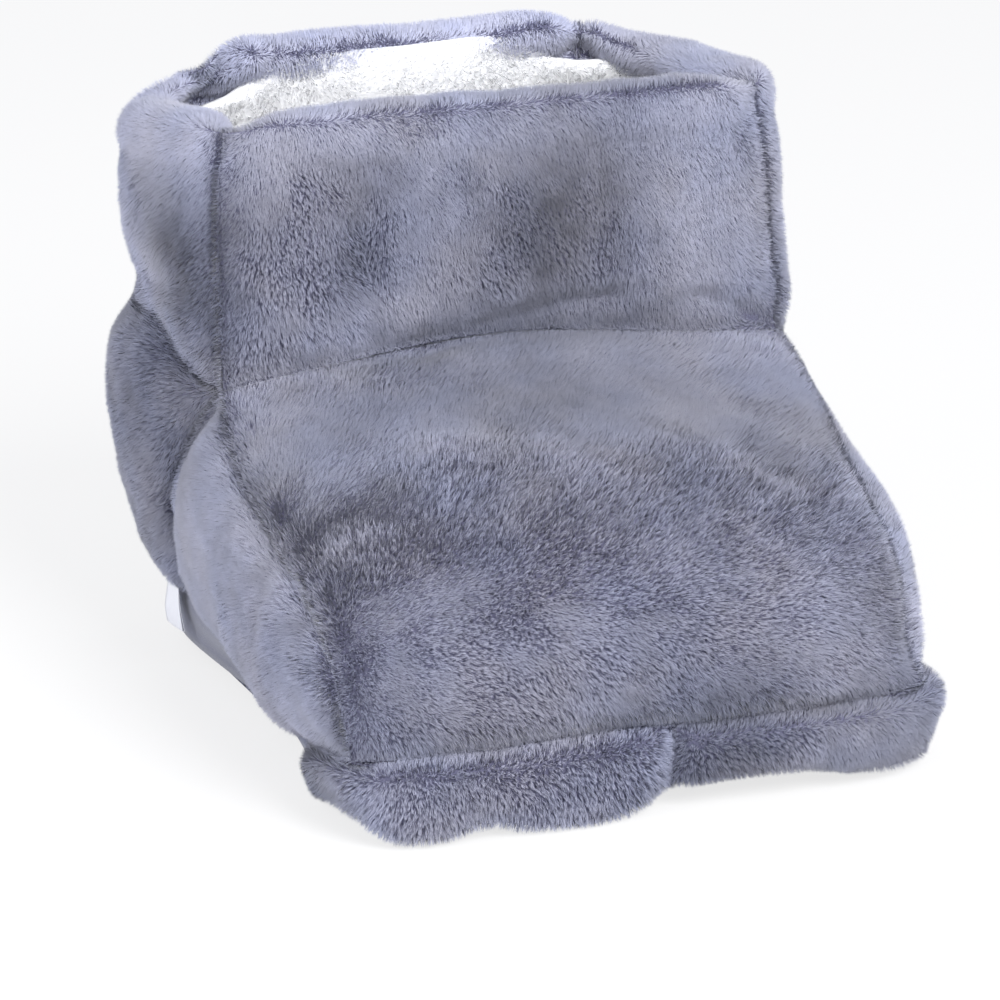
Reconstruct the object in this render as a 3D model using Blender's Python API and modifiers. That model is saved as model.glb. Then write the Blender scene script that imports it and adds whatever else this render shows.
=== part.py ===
"""Electric foot warmer: a plush bootee for both feet, with a heated pocket under the insole.

Metres, +Z up. The origin is under the middle of the sole. The toe points along -Y and the heel
along +Y. Left is -X and right is +X, as seen from in front of the toe. The wall is a sandwich:
padded plush panels outside and white fleece panels inside, cut on the same seams. The core
surface is where the two meet.
"""
import math

import bmesh
import bpy
from mathutils import Vector

MM = 0.001

# Overall size
overall_width = 250 * MM
overall_length = 300 * MM
overall_height = 250 * MM

# Padded plush and fleece
plush_crown = 10 * MM
plush_edge = 4 * MM
lining_thickness = 6 * MM
seam_gap = 0.4 * MM
layer_gap = 0.4 * MM
band_crown = 12 * MM
band_edge = 6 * MM
crown_power_share = 3.0

# Base: sole cloth, foam, heater layer and insole
sole_thickness = 3 * MM
foam_thickness = 15 * MM
insole_thickness = 10.4 * MM
stack_gap = 0.3 * MM
base_wall_thickness = 5 * MM
band_floor_rise = 7 * MM

# Ring round the ankles
ankle_front_y = 18 * MM
instep_seam_height = 130 * MM
instep_seam_rise = 13 * MM
waist_seam_rise = 16 * MM
rim_front_height = 238 * MM
rim_turn = 16 * MM
rim_inside_bulge = 3 * MM
rim_top_width = 8 * MM
ring_front_power_share = 40.0
ring_rear_power_share = 6.0
base_power_share = 30.0
mitre_reach = 20 * MM
mitre_share = 0.2
collar_rise_share = 0.5

# Height share, then what that height holds of the half width or of the heel's reach
ring_left_shares = ((0.13, 0.985), (0.34, 1.0), (0.58, 0.98), (0.78, 0.985), (1.0, 0.97))
ring_right_shares = ((0.13, 0.985), (0.34, 1.0), (0.58, 0.98), (0.78, 0.95), (1.0, 0.915))
ring_back_shares = ((0.13, 0.955), (0.34, 1.0), (0.58, 0.89), (0.78, 0.80), (1.0, 0.715))
# Angle round the ring, as a share of a turn from its right, and the share of the rise from the
# front rim's height to the overall height
rim_height_shares = ((-0.125, 0.1), (0.0, 0.35), (0.125, 0.9), (0.25, 1.0), (0.34, 0.6),
                     (0.41, -0.55), (0.5, -0.45), (0.625, 0.0), (0.75, 0.1), (0.875, 0.1))
# Where the gusset's rear seam crosses the side: height share, then share of the front corner
gusset_seam_shares = ((0.0, 0.62), (0.3, 0.3), (0.65, 0.66), (1.0, 1.0))

# Toe box
instep_arch = 8 * MM
instep_arch_power_share = 0.8
instep_side_power_share = 4.0
instep_turn_share = 0.8
instep_level_share = 0.15
profile_step_share = 0.02
toe_side_bow = 4 * MM
gusset_foot_bow = 3 * MM
# Share of the way to the toe, then share of the instep seam's height above the base
instep_profile_shares = ((0.0, 1.0), (0.12, 0.81), (0.28, 0.71), (0.55, 0.62),
                         (0.77, 0.53), (0.89, 0.41), (0.965, 0.2), (1.0, 0.0))

# Base band and rear wall
band_seam_x = 13 * MM
band_end_y = -92 * MM
zip_left_x = -66 * MM
zip_right_x = 38 * MM
band_rise_shares = ((0.0, 0.1), (0.12, 0.3), (0.3, 0.0), (0.5, 0.1), (0.62, 1.0), (0.75, 0.8),
                    (0.9, 0.1), (1.0, 0.2))

# Zip
zip_height = 18.6 * MM
tape_width = 5.2 * MM
tape_thickness = 0.7 * MM
coil_width = 1.7 * MM
coil_depth = 1.6 * MM
coil_parting = 1.3 * MM
zip_clearance = 0.35 * MM
slider_length = 9 * MM
slider_plate = 0.9 * MM
slider_web = 0.6 * MM
slider_flange = 0.8 * MM
slider_flange_drop = 1.1 * MM
stop_length = 2.4 * MM
bail_span = 5.6 * MM
bail_wire = 1.1 * MM
tab_length = 22 * MM
tab_width = 6 * MM
tab_thickness = 1.1 * MM
tab_bar = 1.3 * MM
tab_window = 4.6 * MM
tab_side = 1.3 * MM

# Heater
heater_cloth = 1.0 * MM
heater_margin = 16 * MM
heater_rear_clear = 34 * MM
wire_diameter = 1.6 * MM
wire_margin = 12 * MM
wire_runs = 8
wire_turn_points = 5
cutout_length = 13 * MM
cutout_width = 6 * MM
connector_length = 14 * MM
connector_width = 9 * MM
connector_x = 40 * MM
lead_diameter = 3.4 * MM
lead_straight_share = 0.1
lead_bend_share = 0.6
gland_x = 60 * MM
gland_bore = 3.9 * MM
gland_neck = 4.2 * MM
gland_flange = 7 * MM
gland_flange_thickness = 1.6 * MM
gland_nose = 4 * MM
gland_nose_radius = 3.4 * MM
gland_tip_radius = 2.7 * MM
cut_overrun = 5 * MM

# Side label
label_y = 74 * MM
label_width = 15 * MM
label_drop = 19 * MM
label_thickness = 0.6 * MM

# Grid counts
front_columns = 12
left_columns = 8
back_columns = 8
right_columns = 12
collar_rows = 5
rim_rows = 3
gusset_columns = 9
gusset_rows = 5
band_columns = 12
band_rows = 6
side_columns = 16
side_rows = 2
corner_segments = 3
round_steps = 20
lead_steps = 12

# Settles which diagonal cuts a panel's edge faces: neither upright nor level
diagonal_lean = Vector((0.3, 0.6, 0.75))

# Angles round the ring, in degrees from its right
FRONT_LEFT_ANGLE = 225.0
FRONT_RIGHT_ANGLE = 315.0
REAR_LEFT_ANGLE = 135.0
REAR_SEAM_ANGLE = 57.0
CORNER_ANGLE = 45.0

half_width = overall_width / 2 - plush_crown
heel_reach = overall_length / 2 - plush_crown
toe_reach = overall_length / 2 - band_crown
base_half_width = overall_width / 2 - band_crown - layer_gap
foam_bottom = sole_thickness + stack_gap
foam_top = foam_bottom + foam_thickness
heater_bottom = foam_top + stack_gap
heater_layer = 2 * heater_cloth + wire_diameter + 2 * layer_gap
insole_bottom = heater_bottom + heater_layer + stack_gap
base_top = insole_bottom + insole_thickness
wall_bottom = base_top + stack_gap


def follow(table, where):
    """Smooth curve through the table's rows: the value at one place."""
    places = [row[0] for row in table]
    values = [row[1] for row in table]
    where = min(max(where, places[0]), places[-1])
    last = len(table) - 1
    k = max(i for i in range(last) if places[i] <= where)

    def slope(i):
        low, high = max(i - 1, 0), min(i + 1, last)
        return (values[high] - values[low]) / (places[high] - places[low])

    step = places[k + 1] - places[k]
    t = (where - places[k]) / step
    return ((2 * t**3 - 3 * t**2 + 1) * values[k] + (t**3 - 2 * t**2 + t) * step * slope(k)
            + (3 * t**2 - 2 * t**3) * values[k + 1] + (t**3 - t**2) * step * slope(k + 1))


def ease(t):
    t = min(max(t, 0.0), 1.0)
    return t * t * (3 - 2 * t)


def spread(count, ends_share=0.55):
    """Count + 1 places from 0 to 1, closer together at both ends, where the padding turns down."""
    even = [i / count for i in range(count + 1)]
    return [(1 - ends_share) * t + ends_share * (1 - math.cos(math.pi * t)) / 2 for t in even]


def pillow(t):
    """How much of the crown stands at this share of the way across a padded panel."""
    return math.sqrt(max(0.0, 1 - abs(2 * t - 1) ** crown_power_share))


# Core surface of the ring

rear_reach = heel_reach * follow(ring_back_shares, wall_bottom / overall_height)


def squircle(angle, power):
    """Unit plan point and outward direction of a rounded square at this angle."""
    c, s = math.cos(math.radians(angle)), math.sin(math.radians(angle))
    reach = (abs(c)**power + abs(s)**power) ** (1 / power)
    out = Vector((math.copysign(abs(c)**(power - 1), c),
                  math.copysign(abs(s)**(power - 1), s), 0))
    return c / reach, s / reach, out.normalized()


def ring_plan(angle):
    """The ring's plan: squarer at the front, where the seams are corners, than at the heel."""
    at_rear = 0 < angle < 180
    return squircle(angle, ring_rear_power_share if at_rear else ring_front_power_share)


def base_plan(angle):
    """The base's plan: square at the toe, and rounded under the heel as the ring is."""
    at_rear = 0 < angle < 180
    return squircle(angle, ring_rear_power_share if at_rear else base_power_share)


def ring_point(angle, z):
    share = z / overall_height
    left = -half_width * follow(ring_left_shares, share)
    right = half_width * follow(ring_right_shares, share)
    back = heel_reach * follow(ring_back_shares, share)
    x, y, _ = ring_plan(angle)
    return Vector(((left + right) / 2 + x * (right - left) / 2,
                   (ankle_front_y + back) / 2 + y * (back - ankle_front_y) / 2, z))


def seam_height(angle):
    """Height of the seam under the collar, all the way round."""
    away = min(abs(angle - FRONT_LEFT_ANGLE), abs(angle - FRONT_RIGHT_ANGLE), abs(angle + CORNER_ANGLE))
    if FRONT_LEFT_ANGLE <= angle <= FRONT_RIGHT_ANGLE:
        across = (angle - (FRONT_LEFT_ANGLE + FRONT_RIGHT_ANGLE) / 2) / CORNER_ANGLE
        return instep_seam_height + instep_seam_rise * (1 - across**2)
    return instep_seam_height + waist_seam_rise * ease(away / CORNER_ANGLE)


def rim_height(angle):
    turn = angle / 360
    if turn > rim_height_shares[-1][0]:
        turn -= 1
    rise = overall_height - rim_front_height
    return rim_front_height + rise * follow(rim_height_shares, turn)


# Instep profile, at its side seams

def base_point(angle, z):
    x, y, _ = base_plan(angle)
    return Vector((x * base_half_width, y * (rear_reach if y > 0 else toe_reach), z))


def profile_table(column):
    """The profile's shares of one direction, by share of its length."""
    lengths = [0.0]
    for near, far in zip(instep_profile_shares, instep_profile_shares[1:]):
        lengths.append(lengths[-1] + math.dist(near, far))
    return [(length / lengths[-1], row[column])
            for length, row in zip(lengths, instep_profile_shares)]


profile_forward = profile_table(0)
profile_height = profile_table(1)


def corner_angle(side):
    return FRONT_LEFT_ANGLE if side < 0 else FRONT_RIGHT_ANGLE


def toe_side(v, side):
    """Side seam of the instep, from the collar at 0 to the base at 1."""
    start = ring_point(corner_angle(side), instep_seam_height)
    end = base_point(corner_angle(side), wall_bottom)
    forward, height = follow(profile_forward, v), follow(profile_height, v)
    x = start.x + (end.x - start.x) * v + side * toe_side_bow * math.sin(math.pi * v)
    return Vector((x, start.y + (end.y - start.y) * forward,
                   end.z + (start.z - end.z) * height))


def profile_normal(v):
    near, far = max(v - profile_step_share, 0.0), min(v + profile_step_share, 1.0)
    step = toe_side(far, 1) - toe_side(near, 1)
    out = Vector((0, step.z, -step.y)).normalized()
    level = ease(1 - (1 - v) / instep_level_share)
    return out.lerp(Vector((0, -1, 0)), level).normalized()


def ring_out(angle, z):
    """Direction in which a ring panel's padding grows, mitred to the instep at their seam."""
    _, _, out = ring_plan(angle)
    if FRONT_LEFT_ANGLE <= angle <= FRONT_RIGHT_ANGLE:
        near_front = 1.0
    else:
        away = min(abs(angle - FRONT_LEFT_ANGLE), abs(angle - FRONT_RIGHT_ANGLE), abs(angle + CORNER_ANGLE))
        near_front = 1 - ease(away / (CORNER_ANGLE / 2))
    near_seam = math.exp(-((z - seam_height(angle)) / mitre_reach) ** 2)
    return (out + profile_normal(0.0) * near_front * near_seam).normalized()


def toe_side_out(v, side):
    """The shared direction at the seam between the instep and a gusset."""
    _, _, corner = ring_plan(corner_angle(side))
    turn = 1 - ease(v / mitre_share)
    across = Vector((side, 0, 0)).lerp(corner, turn)
    return (profile_normal(v) + across).normalized()


def patch(bottom, top, rear, front):
    """Coons patch of four edge lists that share their corners: rows from bottom to top."""
    rows, columns = len(rear) - 1, len(bottom) - 1
    grid = []
    for r in range(rows + 1):
        v = r / rows
        line = []
        for c in range(columns + 1):
            u = c / columns
            flat = (bottom[0] * (1 - u) * (1 - v) + bottom[-1] * u * (1 - v)
                    + top[0] * (1 - u) * v + top[-1] * u * v)
            line.append(bottom[c] * (1 - v) + top[c] * v + rear[r] * (1 - u) + front[r] * u - flat)
        grid.append(line)
    return grid


# Solids from grids

def take_in(grid, distance):
    """Draw a grid's four edges in by half the seam's gap."""
    rows, columns = len(grid), len(grid[0])
    trimmed = [list(line) for line in grid]
    for r in range(rows):
        for end, inner in ((0, 1), (columns - 1, columns - 2)):
            trimmed[r][end] = grid[r][end] + (grid[r][inner] - grid[r][end]).normalized() * distance
    taken = [list(line) for line in trimmed]
    for c in range(columns):
        for end, inner in ((0, 1), (rows - 1, rows - 2)):
            step = trimmed[inner][c] - trimmed[end][c]
            taken[end][c] = trimmed[end][c] + step.normalized() * distance
    return taken


def offset(grid, out, distances):
    return [[point + way * far for point, way, far in zip(*lines)]
            for lines in zip(grid, out, distances)]


def add_object(name, mesh, finish, smooth_angle=35):
    if mesh.faces and mesh.calc_volume(signed=True) < 0:
        bmesh.ops.reverse_faces(mesh, faces=mesh.faces)
    data = bpy.data.meshes.new(name)
    mesh.to_mesh(data)
    mesh.free()
    data.materials.append(finish)
    data.shade_smooth()
    data.set_sharp_from_angle(angle=math.radians(smooth_angle))
    node = bpy.data.objects.new(name, data)
    parts.objects.link(node)
    return node


def set_diagonals(mesh, near, far):
    """Cut every quad along a set diagonal, so that the faces of neighbouring panels match."""
    cells = {**near, **far}
    for face in list(mesh.faces):
        ends = [vertex for vertex in face.verts if vertex in near]
        if len(ends) == 2:
            start, other = sorted(ends, key=lambda vertex: vertex.co.dot(diagonal_lean))
            end = next(vertex for vertex in face.verts
                       if vertex in far and far[vertex] == near[other])
        else:
            start, end = min(face.verts, key=cells.get), max(face.verts, key=cells.get)
        bmesh.utils.face_split(face, start, end)


def sandwich(name, inside, outside, finish):
    """Closed panel: a grid for its inside, extruded to a second grid for its outside."""
    rows, columns = len(inside) - 1, len(inside[0]) - 1
    mesh = bmesh.new()
    bmesh.ops.create_grid(mesh, x_segments=columns, y_segments=rows, size=1)

    def cell(vertex):
        return round((vertex.co.y + 1) / 2 * rows), round((vertex.co.x + 1) / 2 * columns)

    near = {vertex: cell(vertex) for vertex in mesh.verts}
    grown = bmesh.ops.extrude_face_region(mesh, geom=mesh.faces[:], use_keep_orig=True)
    far = {item: cell(item) for item in grown["geom"] if isinstance(item, bmesh.types.BMVert)}
    for vertex, (r, c) in near.items():
        vertex.co = inside[r][c]
    for vertex, (r, c) in far.items():
        vertex.co = outside[r][c]
    set_diagonals(mesh, near, far)
    bmesh.ops.recalc_face_normals(mesh, faces=mesh.faces)
    return add_object(name, mesh, finish)


def wall(name, grid, out, padding, plush_finish, lining_rows=None):
    """A plush panel and its fleece lining, back to back on the core surface."""
    core = take_in(grid, seam_gap / 2)
    inner, outer = padding
    sandwich(name, offset(core, out, inner), offset(core, out, outer), plush_finish)
    rows = lining_rows or len(core) - 1
    back = take_in(grid[:rows + 1], seam_gap / 2)
    face = [[-layer_gap / 2] * len(grid[0])] * (rows + 1)
    skin = [[-layer_gap / 2 - lining_thickness] * len(grid[0])] * (rows + 1)
    sandwich(name.replace("panel", "lining"), offset(back, out, skin), offset(back, out, face),
             fleece)


def padded(grid, crown, edge):
    """Padding of a plain panel: its crown, drawn down to the edge's thickness at every seam."""
    rows, columns = len(grid) - 1, len(grid[0]) - 1
    along, up = spread(columns), spread(rows)
    outer = [[edge + (crown - edge) * pillow(up[r]) * pillow(along[c])
              for c in range(columns + 1)] for r in range(rows + 1)]
    inner = [[layer_gap / 2] * (columns + 1)] * (rows + 1)
    return inner, outer


def collar_panel(name, first, last, columns):
    """One panel of the collar, with the rim that turns over the lining's top edge."""
    along = spread(columns)
    up = spread(collar_rows)
    grid, out, inner, outer = [], [], [], []
    for r in range(collar_rows + rim_rows + 1):
        lines = ([], [], [], [])
        for share in along:
            angle = first + (last - first) * share
            seam, rim = seam_height(angle), rim_height(angle)
            turn = rim - rim_turn
            body = plush_edge + (plush_crown - plush_edge) * pillow(share)
            if r <= collar_rows:
                z = seam + (turn - seam) * up[r]
                rise = math.sqrt(1 - (1 - min(up[r] / collar_rise_share, 1.0)) ** 2)
                reach, back = plush_edge + (body - plush_edge) * rise, layer_gap / 2
            else:
                round_share = math.sin(math.pi / 2 * (r - collar_rows) / rim_rows)
                z = turn + rim_turn * round_share
                over = math.sqrt(1 - round_share**2)
                reach = rim_top_width + (body - rim_top_width) * over
                back = -(lining_thickness + rim_inside_bulge) * over
            for line, value in zip(lines, (ring_point(angle, z), ring_out(angle, z), back, reach)):
                line.append(value)
        for rows, line in zip((grid, out, inner, outer), lines):
            rows.append(line)
    wall(name, grid, out, (inner, outer), plush, collar_rows)


def heel_grid(first, last, columns):
    """Rows of the heel, where first and last give the angle at each height share."""
    along, up = spread(columns), spread(gusset_rows)
    grid, out = [], []
    for height in up:
        start, end = first(height), last(height)
        line, ways = [], []
        for share in along:
            angle = start + (end - start) * share
            z = wall_bottom + (seam_height(angle) - wall_bottom) * height
            line.append(ring_point(angle, z))
            ways.append(ring_out(angle, z))
        grid.append(line)
        out.append(ways)
    return grid, out


def gusset_rear(side):
    """Angle of the gusset's rear seam at each height share."""
    corner = corner_angle(side) if side < 0 else corner_angle(side) - 360
    middle = 180.0 if side < 0 else 0.0
    return lambda height: middle + (corner - middle) * follow(gusset_seam_shares, height)


def gusset(name, side):
    up = spread(gusset_rows)
    seam_angle = gusset_rear(side)
    samples = instep_samples()
    top = [toe_side(v, side) for v in samples[:gusset_columns + 1]]
    top_out = [toe_side_out(v, side) for v in samples[:gusset_columns + 1]]
    front = [toe_side(v, side) for v in samples[:gusset_columns - 1:-1]]
    front_out = [toe_side_out(v, side) for v in samples[:gusset_columns - 1:-1]]
    rear, rear_out = [], []
    for height in up:
        angle = seam_angle(height)
        z = wall_bottom + (seam_height(angle) - wall_bottom) * height
        rear.append(ring_point(angle, z))
        rear_out.append(ring_out(angle, z))
    bottom, bottom_out = [], []
    for share in spread(gusset_columns):
        bow = Vector((side * gusset_foot_bow * math.sin(math.pi * share), 0, 0))
        bottom.append(rear[0].lerp(front[0], share) + bow)
        bottom_out.append(rear_out[0].lerp(front_out[0], share).normalized())
    grid = patch(bottom, top, rear, front)
    out = patch(bottom_out, top_out, rear_out, front_out)
    out = [[way.normalized() for way in line] for line in out]
    wall(name, grid, out, padded(grid, plush_crown, plush_edge), plush)


def instep_samples():
    """Places along the instep's side seam, shared with the gussets: top edge, then front edge."""
    turn = instep_turn_share
    first = [t * turn for t in spread(gusset_columns)]
    return first + [turn + (1 - turn) * t for t in spread(gusset_rows)[1:]]


def instep():
    samples = instep_samples()
    across = spread(front_columns)
    angles = [FRONT_LEFT_ANGLE + (FRONT_RIGHT_ANGLE - FRONT_LEFT_ANGLE) * u for u in across]
    seam = [ring_point(a, seam_height(a)) for a in angles]
    plan_out = [ring_plan(a)[2] for a in angles]
    hem = [base_point(a, wall_bottom) for a in angles]
    grid, out, outer = [], [], []
    for r, v in enumerate(samples):
        left, right = toe_side(v, -1), toe_side(v, 1)
        near_collar = 1 - ease(v / mitre_share)
        run = (r - gusset_columns) / gusset_rows if r > gusset_columns else 0.0
        down = 0.5 * (r / gusset_columns if r <= gusset_columns else 1 + run)
        line, ways, far = [], [], []
        for c, u in enumerate(across):
            flat = (seam[0].lerp(seam[-1], u)).lerp(hem[0].lerp(hem[-1], u), v)
            core = seam[c].lerp(hem[c], v) + left.lerp(right, u) - flat
            along = math.sin(math.pi * v) ** instep_arch_power_share
            lift = instep_arch * (1 - (2 * u - 1) ** 2) * along
            edge = abs(2 * u - 1) ** instep_side_power_share
            sideways = Vector((math.copysign(edge, u - 0.5), 0, 0))
            line.append(core + profile_normal(v) * lift)
            way = profile_normal(v) + sideways.lerp(plan_out[c], near_collar)
            ways.append(way.normalized())
            far.append(plush_edge + (plush_crown - plush_edge) * pillow(down) * pillow(u))
        grid.append(line)
        out.append(ways)
        outer.append(far)
    inner = [[layer_gap / 2] * len(across)] * len(samples)
    wall("instep_panel", grid, out, (inner, outer), plush)


# Base

def front_angle(x):
    return 270 + math.degrees(math.atan(x / base_half_width))


def rear_angle(x):
    return 90 - math.degrees(math.atan(x / base_half_width))


def side_angle(y):
    return math.degrees(math.atan(y / toe_reach))


def stations(first, last, count):
    return [first + (last - first) * share for share in spread(count)]


def base_runs():
    """Angles of each base wall's columns, in order round the base from its right."""
    end = side_angle(band_end_y)
    return {
        "base_side_right": stations(end, rear_angle(zip_right_x), side_columns),
        "rear": stations(rear_angle(zip_right_x), rear_angle(zip_left_x), left_columns),
        "base_side_left": stations(rear_angle(zip_left_x), 180 - end, side_columns),
        "base_band_left": stations(180 - end, front_angle(band_seam_x), band_columns),
        "base_band_right": stations(front_angle(band_seam_x), 360 + end, band_columns),
    }


def base_out(angle):
    return base_plan(angle)[2]


def base_wall(name, angles, low, high, rows, crown, edge, finish):
    """A wall standing on the base outline, between two heights given for each angle."""
    up = spread(rows)
    grid = [[base_point(a, low(a) + (high - low(a)) * share) for a in angles] for share in up]
    out = [[base_out(a) for a in angles] for _ in up]
    core = take_in(grid, seam_gap / 2)
    inner, outer = padded(core, crown, edge)
    return sandwich(name, offset(core, out, inner), offset(core, out, outer), finish)


def band_floor(angle):
    """The plush band's lower edge, which waves up from the floor along the front."""
    first, last = 180 - side_angle(band_end_y), 360 + side_angle(band_end_y)
    return band_floor_rise * max(0.0, follow(band_rise_shares, (angle - first) / (last - first)))


def prism(name, outline, sweep, finish):
    """Flat outline swept along one vector."""
    mesh = bmesh.new()
    made = bmesh.ops.create_circle(mesh, segments=len(outline), radius=1, cap_ends=True)
    for vertex, place in zip(made["verts"], outline):
        vertex.co = place
    grown = bmesh.ops.extrude_face_region(mesh, geom=mesh.faces[:], use_keep_orig=True)
    for item in grown["geom"]:
        if isinstance(item, bmesh.types.BMVert):
            item.co += Vector(sweep)
    bmesh.ops.recalc_face_normals(mesh, faces=mesh.faces)
    return add_object(name, mesh, finish)


def slab(name, runs, low, high, finish):
    """A layer of the base, cut to the base outline."""
    angles = [angle for run in runs.values() for angle in run[:-1]]
    outline = [base_point(a, low) - base_out(a) * (seam_gap / 2) for a in angles]
    return prism(name, outline, (0, 0, high - low), finish)


def block(name, low, high, finish, corner=0.0):
    """Box between two corners, its upright edges rounded."""
    low, high = Vector(low), Vector(high)
    mesh = bmesh.new()
    bmesh.ops.create_cube(mesh, size=1)
    for vertex in mesh.verts:
        vertex.co = Vector([(low[k] + high[k]) / 2 + vertex.co[k] * (high[k] - low[k])
                            for k in range(3)])
    if corner:
        upright = [edge for edge in mesh.edges
                   if abs(edge.verts[0].co.z - edge.verts[1].co.z) > (high.z - low.z) / 2]
        bmesh.ops.bevel(mesh, geom=upright, offset=corner, segments=corner_segments,
                        profile=0.5, affect="EDGES")
    return add_object(name, mesh, finish)


def combine(node, tool, operation):
    """Boolean of two nodes: the tool goes with the cutters."""
    parts.objects.unlink(tool)
    cutters.objects.link(tool)
    tool.hide_render = True
    tool.display_type = "WIRE"
    change = node.modifiers.new(operation.lower(), "BOOLEAN")
    change.operation = operation
    change.object = tool


def tube(name, points, diameter, finish):
    curve = bpy.data.curves.new(name, "CURVE")
    curve.dimensions = "3D"
    curve.bevel_depth = diameter / 2
    curve.bevel_resolution = 2
    curve.use_fill_caps = True
    spline = curve.splines.new("POLY")
    spline.points.add(len(points) - 1)
    for point, place in zip(spline.points, points):
        point.co = (*place, 1)
    curve.materials.append(finish)
    node = bpy.data.objects.new(name, curve)
    parts.objects.link(node)
    return node


def base(runs):
    slab("sole_cloth", runs, 0, sole_thickness, cloth)
    slab("sole_foam", runs, foam_bottom, foam_top, foam)
    slab("insole_fleece", runs, insole_bottom, base_top, fleece)
    for side in ("left", "right"):
        base_wall("base_band_" + side, runs["base_band_" + side], band_floor, base_top,
                  band_rows, band_crown, band_edge, plush)
        base_wall("base_side_" + side, runs["base_side_" + side], lambda angle: stack_gap,
                  base_top, side_rows, base_wall_thickness, base_wall_thickness / 2, cloth)
    reach = coil_parting / 2 + tape_width + stack_gap
    base_wall("base_rear_upper", runs["rear"], lambda angle: zip_height + reach, base_top,
              side_rows, base_wall_thickness, base_wall_thickness / 2, cloth)
    base_wall("base_rear_lower", runs["rear"], lambda angle: stack_gap, zip_height - reach,
              side_rows, base_wall_thickness, base_wall_thickness / 2, cloth)


# Zip along the rear of the heater's pocket

def zip_set():
    """Tapes, coils, stops, slider and pull tab. Depths count outwards from the base outline."""
    plate_back = rear_reach + stack_gap + zip_clearance
    tape_back = plate_back + slider_plate + zip_clearance
    coil_back = tape_back + tape_thickness + stack_gap
    coil_front = coil_back + coil_depth
    plate_front = coil_front + zip_clearance + slider_plate
    left, right = zip_left_x + seam_gap, zip_right_x - seam_gap
    coil_left = left + stop_length + stack_gap
    coil_right = right - stop_length - stack_gap
    inner, outer = coil_parting / 2, coil_parting / 2 + coil_width
    for name, way in (("upper", 1), ("lower", -1)):
        edges = sorted((zip_height + way * inner, zip_height + way * (inner + tape_width)))
        block("zip_tape_" + name, (left, tape_back, edges[0]),
              (right, tape_back + tape_thickness, edges[1]), cloth)
        edges = sorted((zip_height + way * inner, zip_height + way * outer))
        block("zip_coil_" + name, (coil_left, coil_back, edges[0]),
              (coil_right, coil_front, edges[1]), coil_nylon)
    for name, start in (("left", left), ("right", right - stop_length)):
        block("zip_stop_" + name, (start, coil_back, zip_height - outer),
              (start + stop_length, coil_front, zip_height + outer), nickel)

    start = coil_left + stack_gap
    flange = outer + zip_clearance
    web, rim = slider_web / 2, flange + slider_flange
    lip = plate_front - slider_plate - slider_flange_drop
    half = [(rear_reach + stack_gap, rim), (plate_back + slider_plate - zip_clearance, rim),
            (plate_back + slider_plate - zip_clearance, web),
            (plate_front - slider_plate, web), (plate_front - slider_plate, flange),
            (lip, flange), (lip, rim), (plate_front, rim)]
    section = half + [(y, -z) for y, z in reversed(half)]
    outline = [(start, y, zip_height + z) for y, z in section]
    slider = prism("zip_slider", outline, (slider_length, 0, 0), nickel)

    middle = start + slider_length / 2
    turning = math.hypot(tab_bar, tab_thickness) / 2
    axis_y = plate_front + stack_gap + turning
    under = axis_y + turning + stack_gap
    legs, sunk = bail_span / 2, slider_plate / 2
    arch = [(legs + bail_wire / 2, plate_front - sunk), (legs + bail_wire / 2, under),
            (legs - bail_wire / 2, under + bail_wire), (bail_wire / 2 - legs, under + bail_wire),
            (-legs - bail_wire / 2, under), (-legs - bail_wire / 2, plate_front - sunk),
            (bail_wire / 2 - legs, plate_front - sunk), (bail_wire / 2 - legs, under),
            (legs - bail_wire / 2, under), (legs - bail_wire / 2, plate_front - sunk)]
    outline = [(middle + x, y, zip_height - bail_wire / 2) for x, y in arch]
    bail = prism("bail", outline, (0, 0, bail_wire), nickel)
    combine(slider, bail, "UNION")

    near, far = -tab_bar / 2, tab_length - tab_bar / 2
    tab = block("zip_pull_tab", (near, -tab_thickness / 2, -tab_width / 2),
                (far, tab_thickness / 2, tab_width / 2), nickel)
    window = block("tab_window", (tab_bar / 2, -tab_thickness, tab_side - tab_width / 2),
                   (tab_bar / 2 + tab_window, tab_thickness, tab_width / 2 - tab_side), nickel)
    for piece in (tab, window):
        piece.location = (middle, axis_y, zip_height)
    combine(tab, window, "DIFFERENCE")


# Heater between its two cloths

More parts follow.
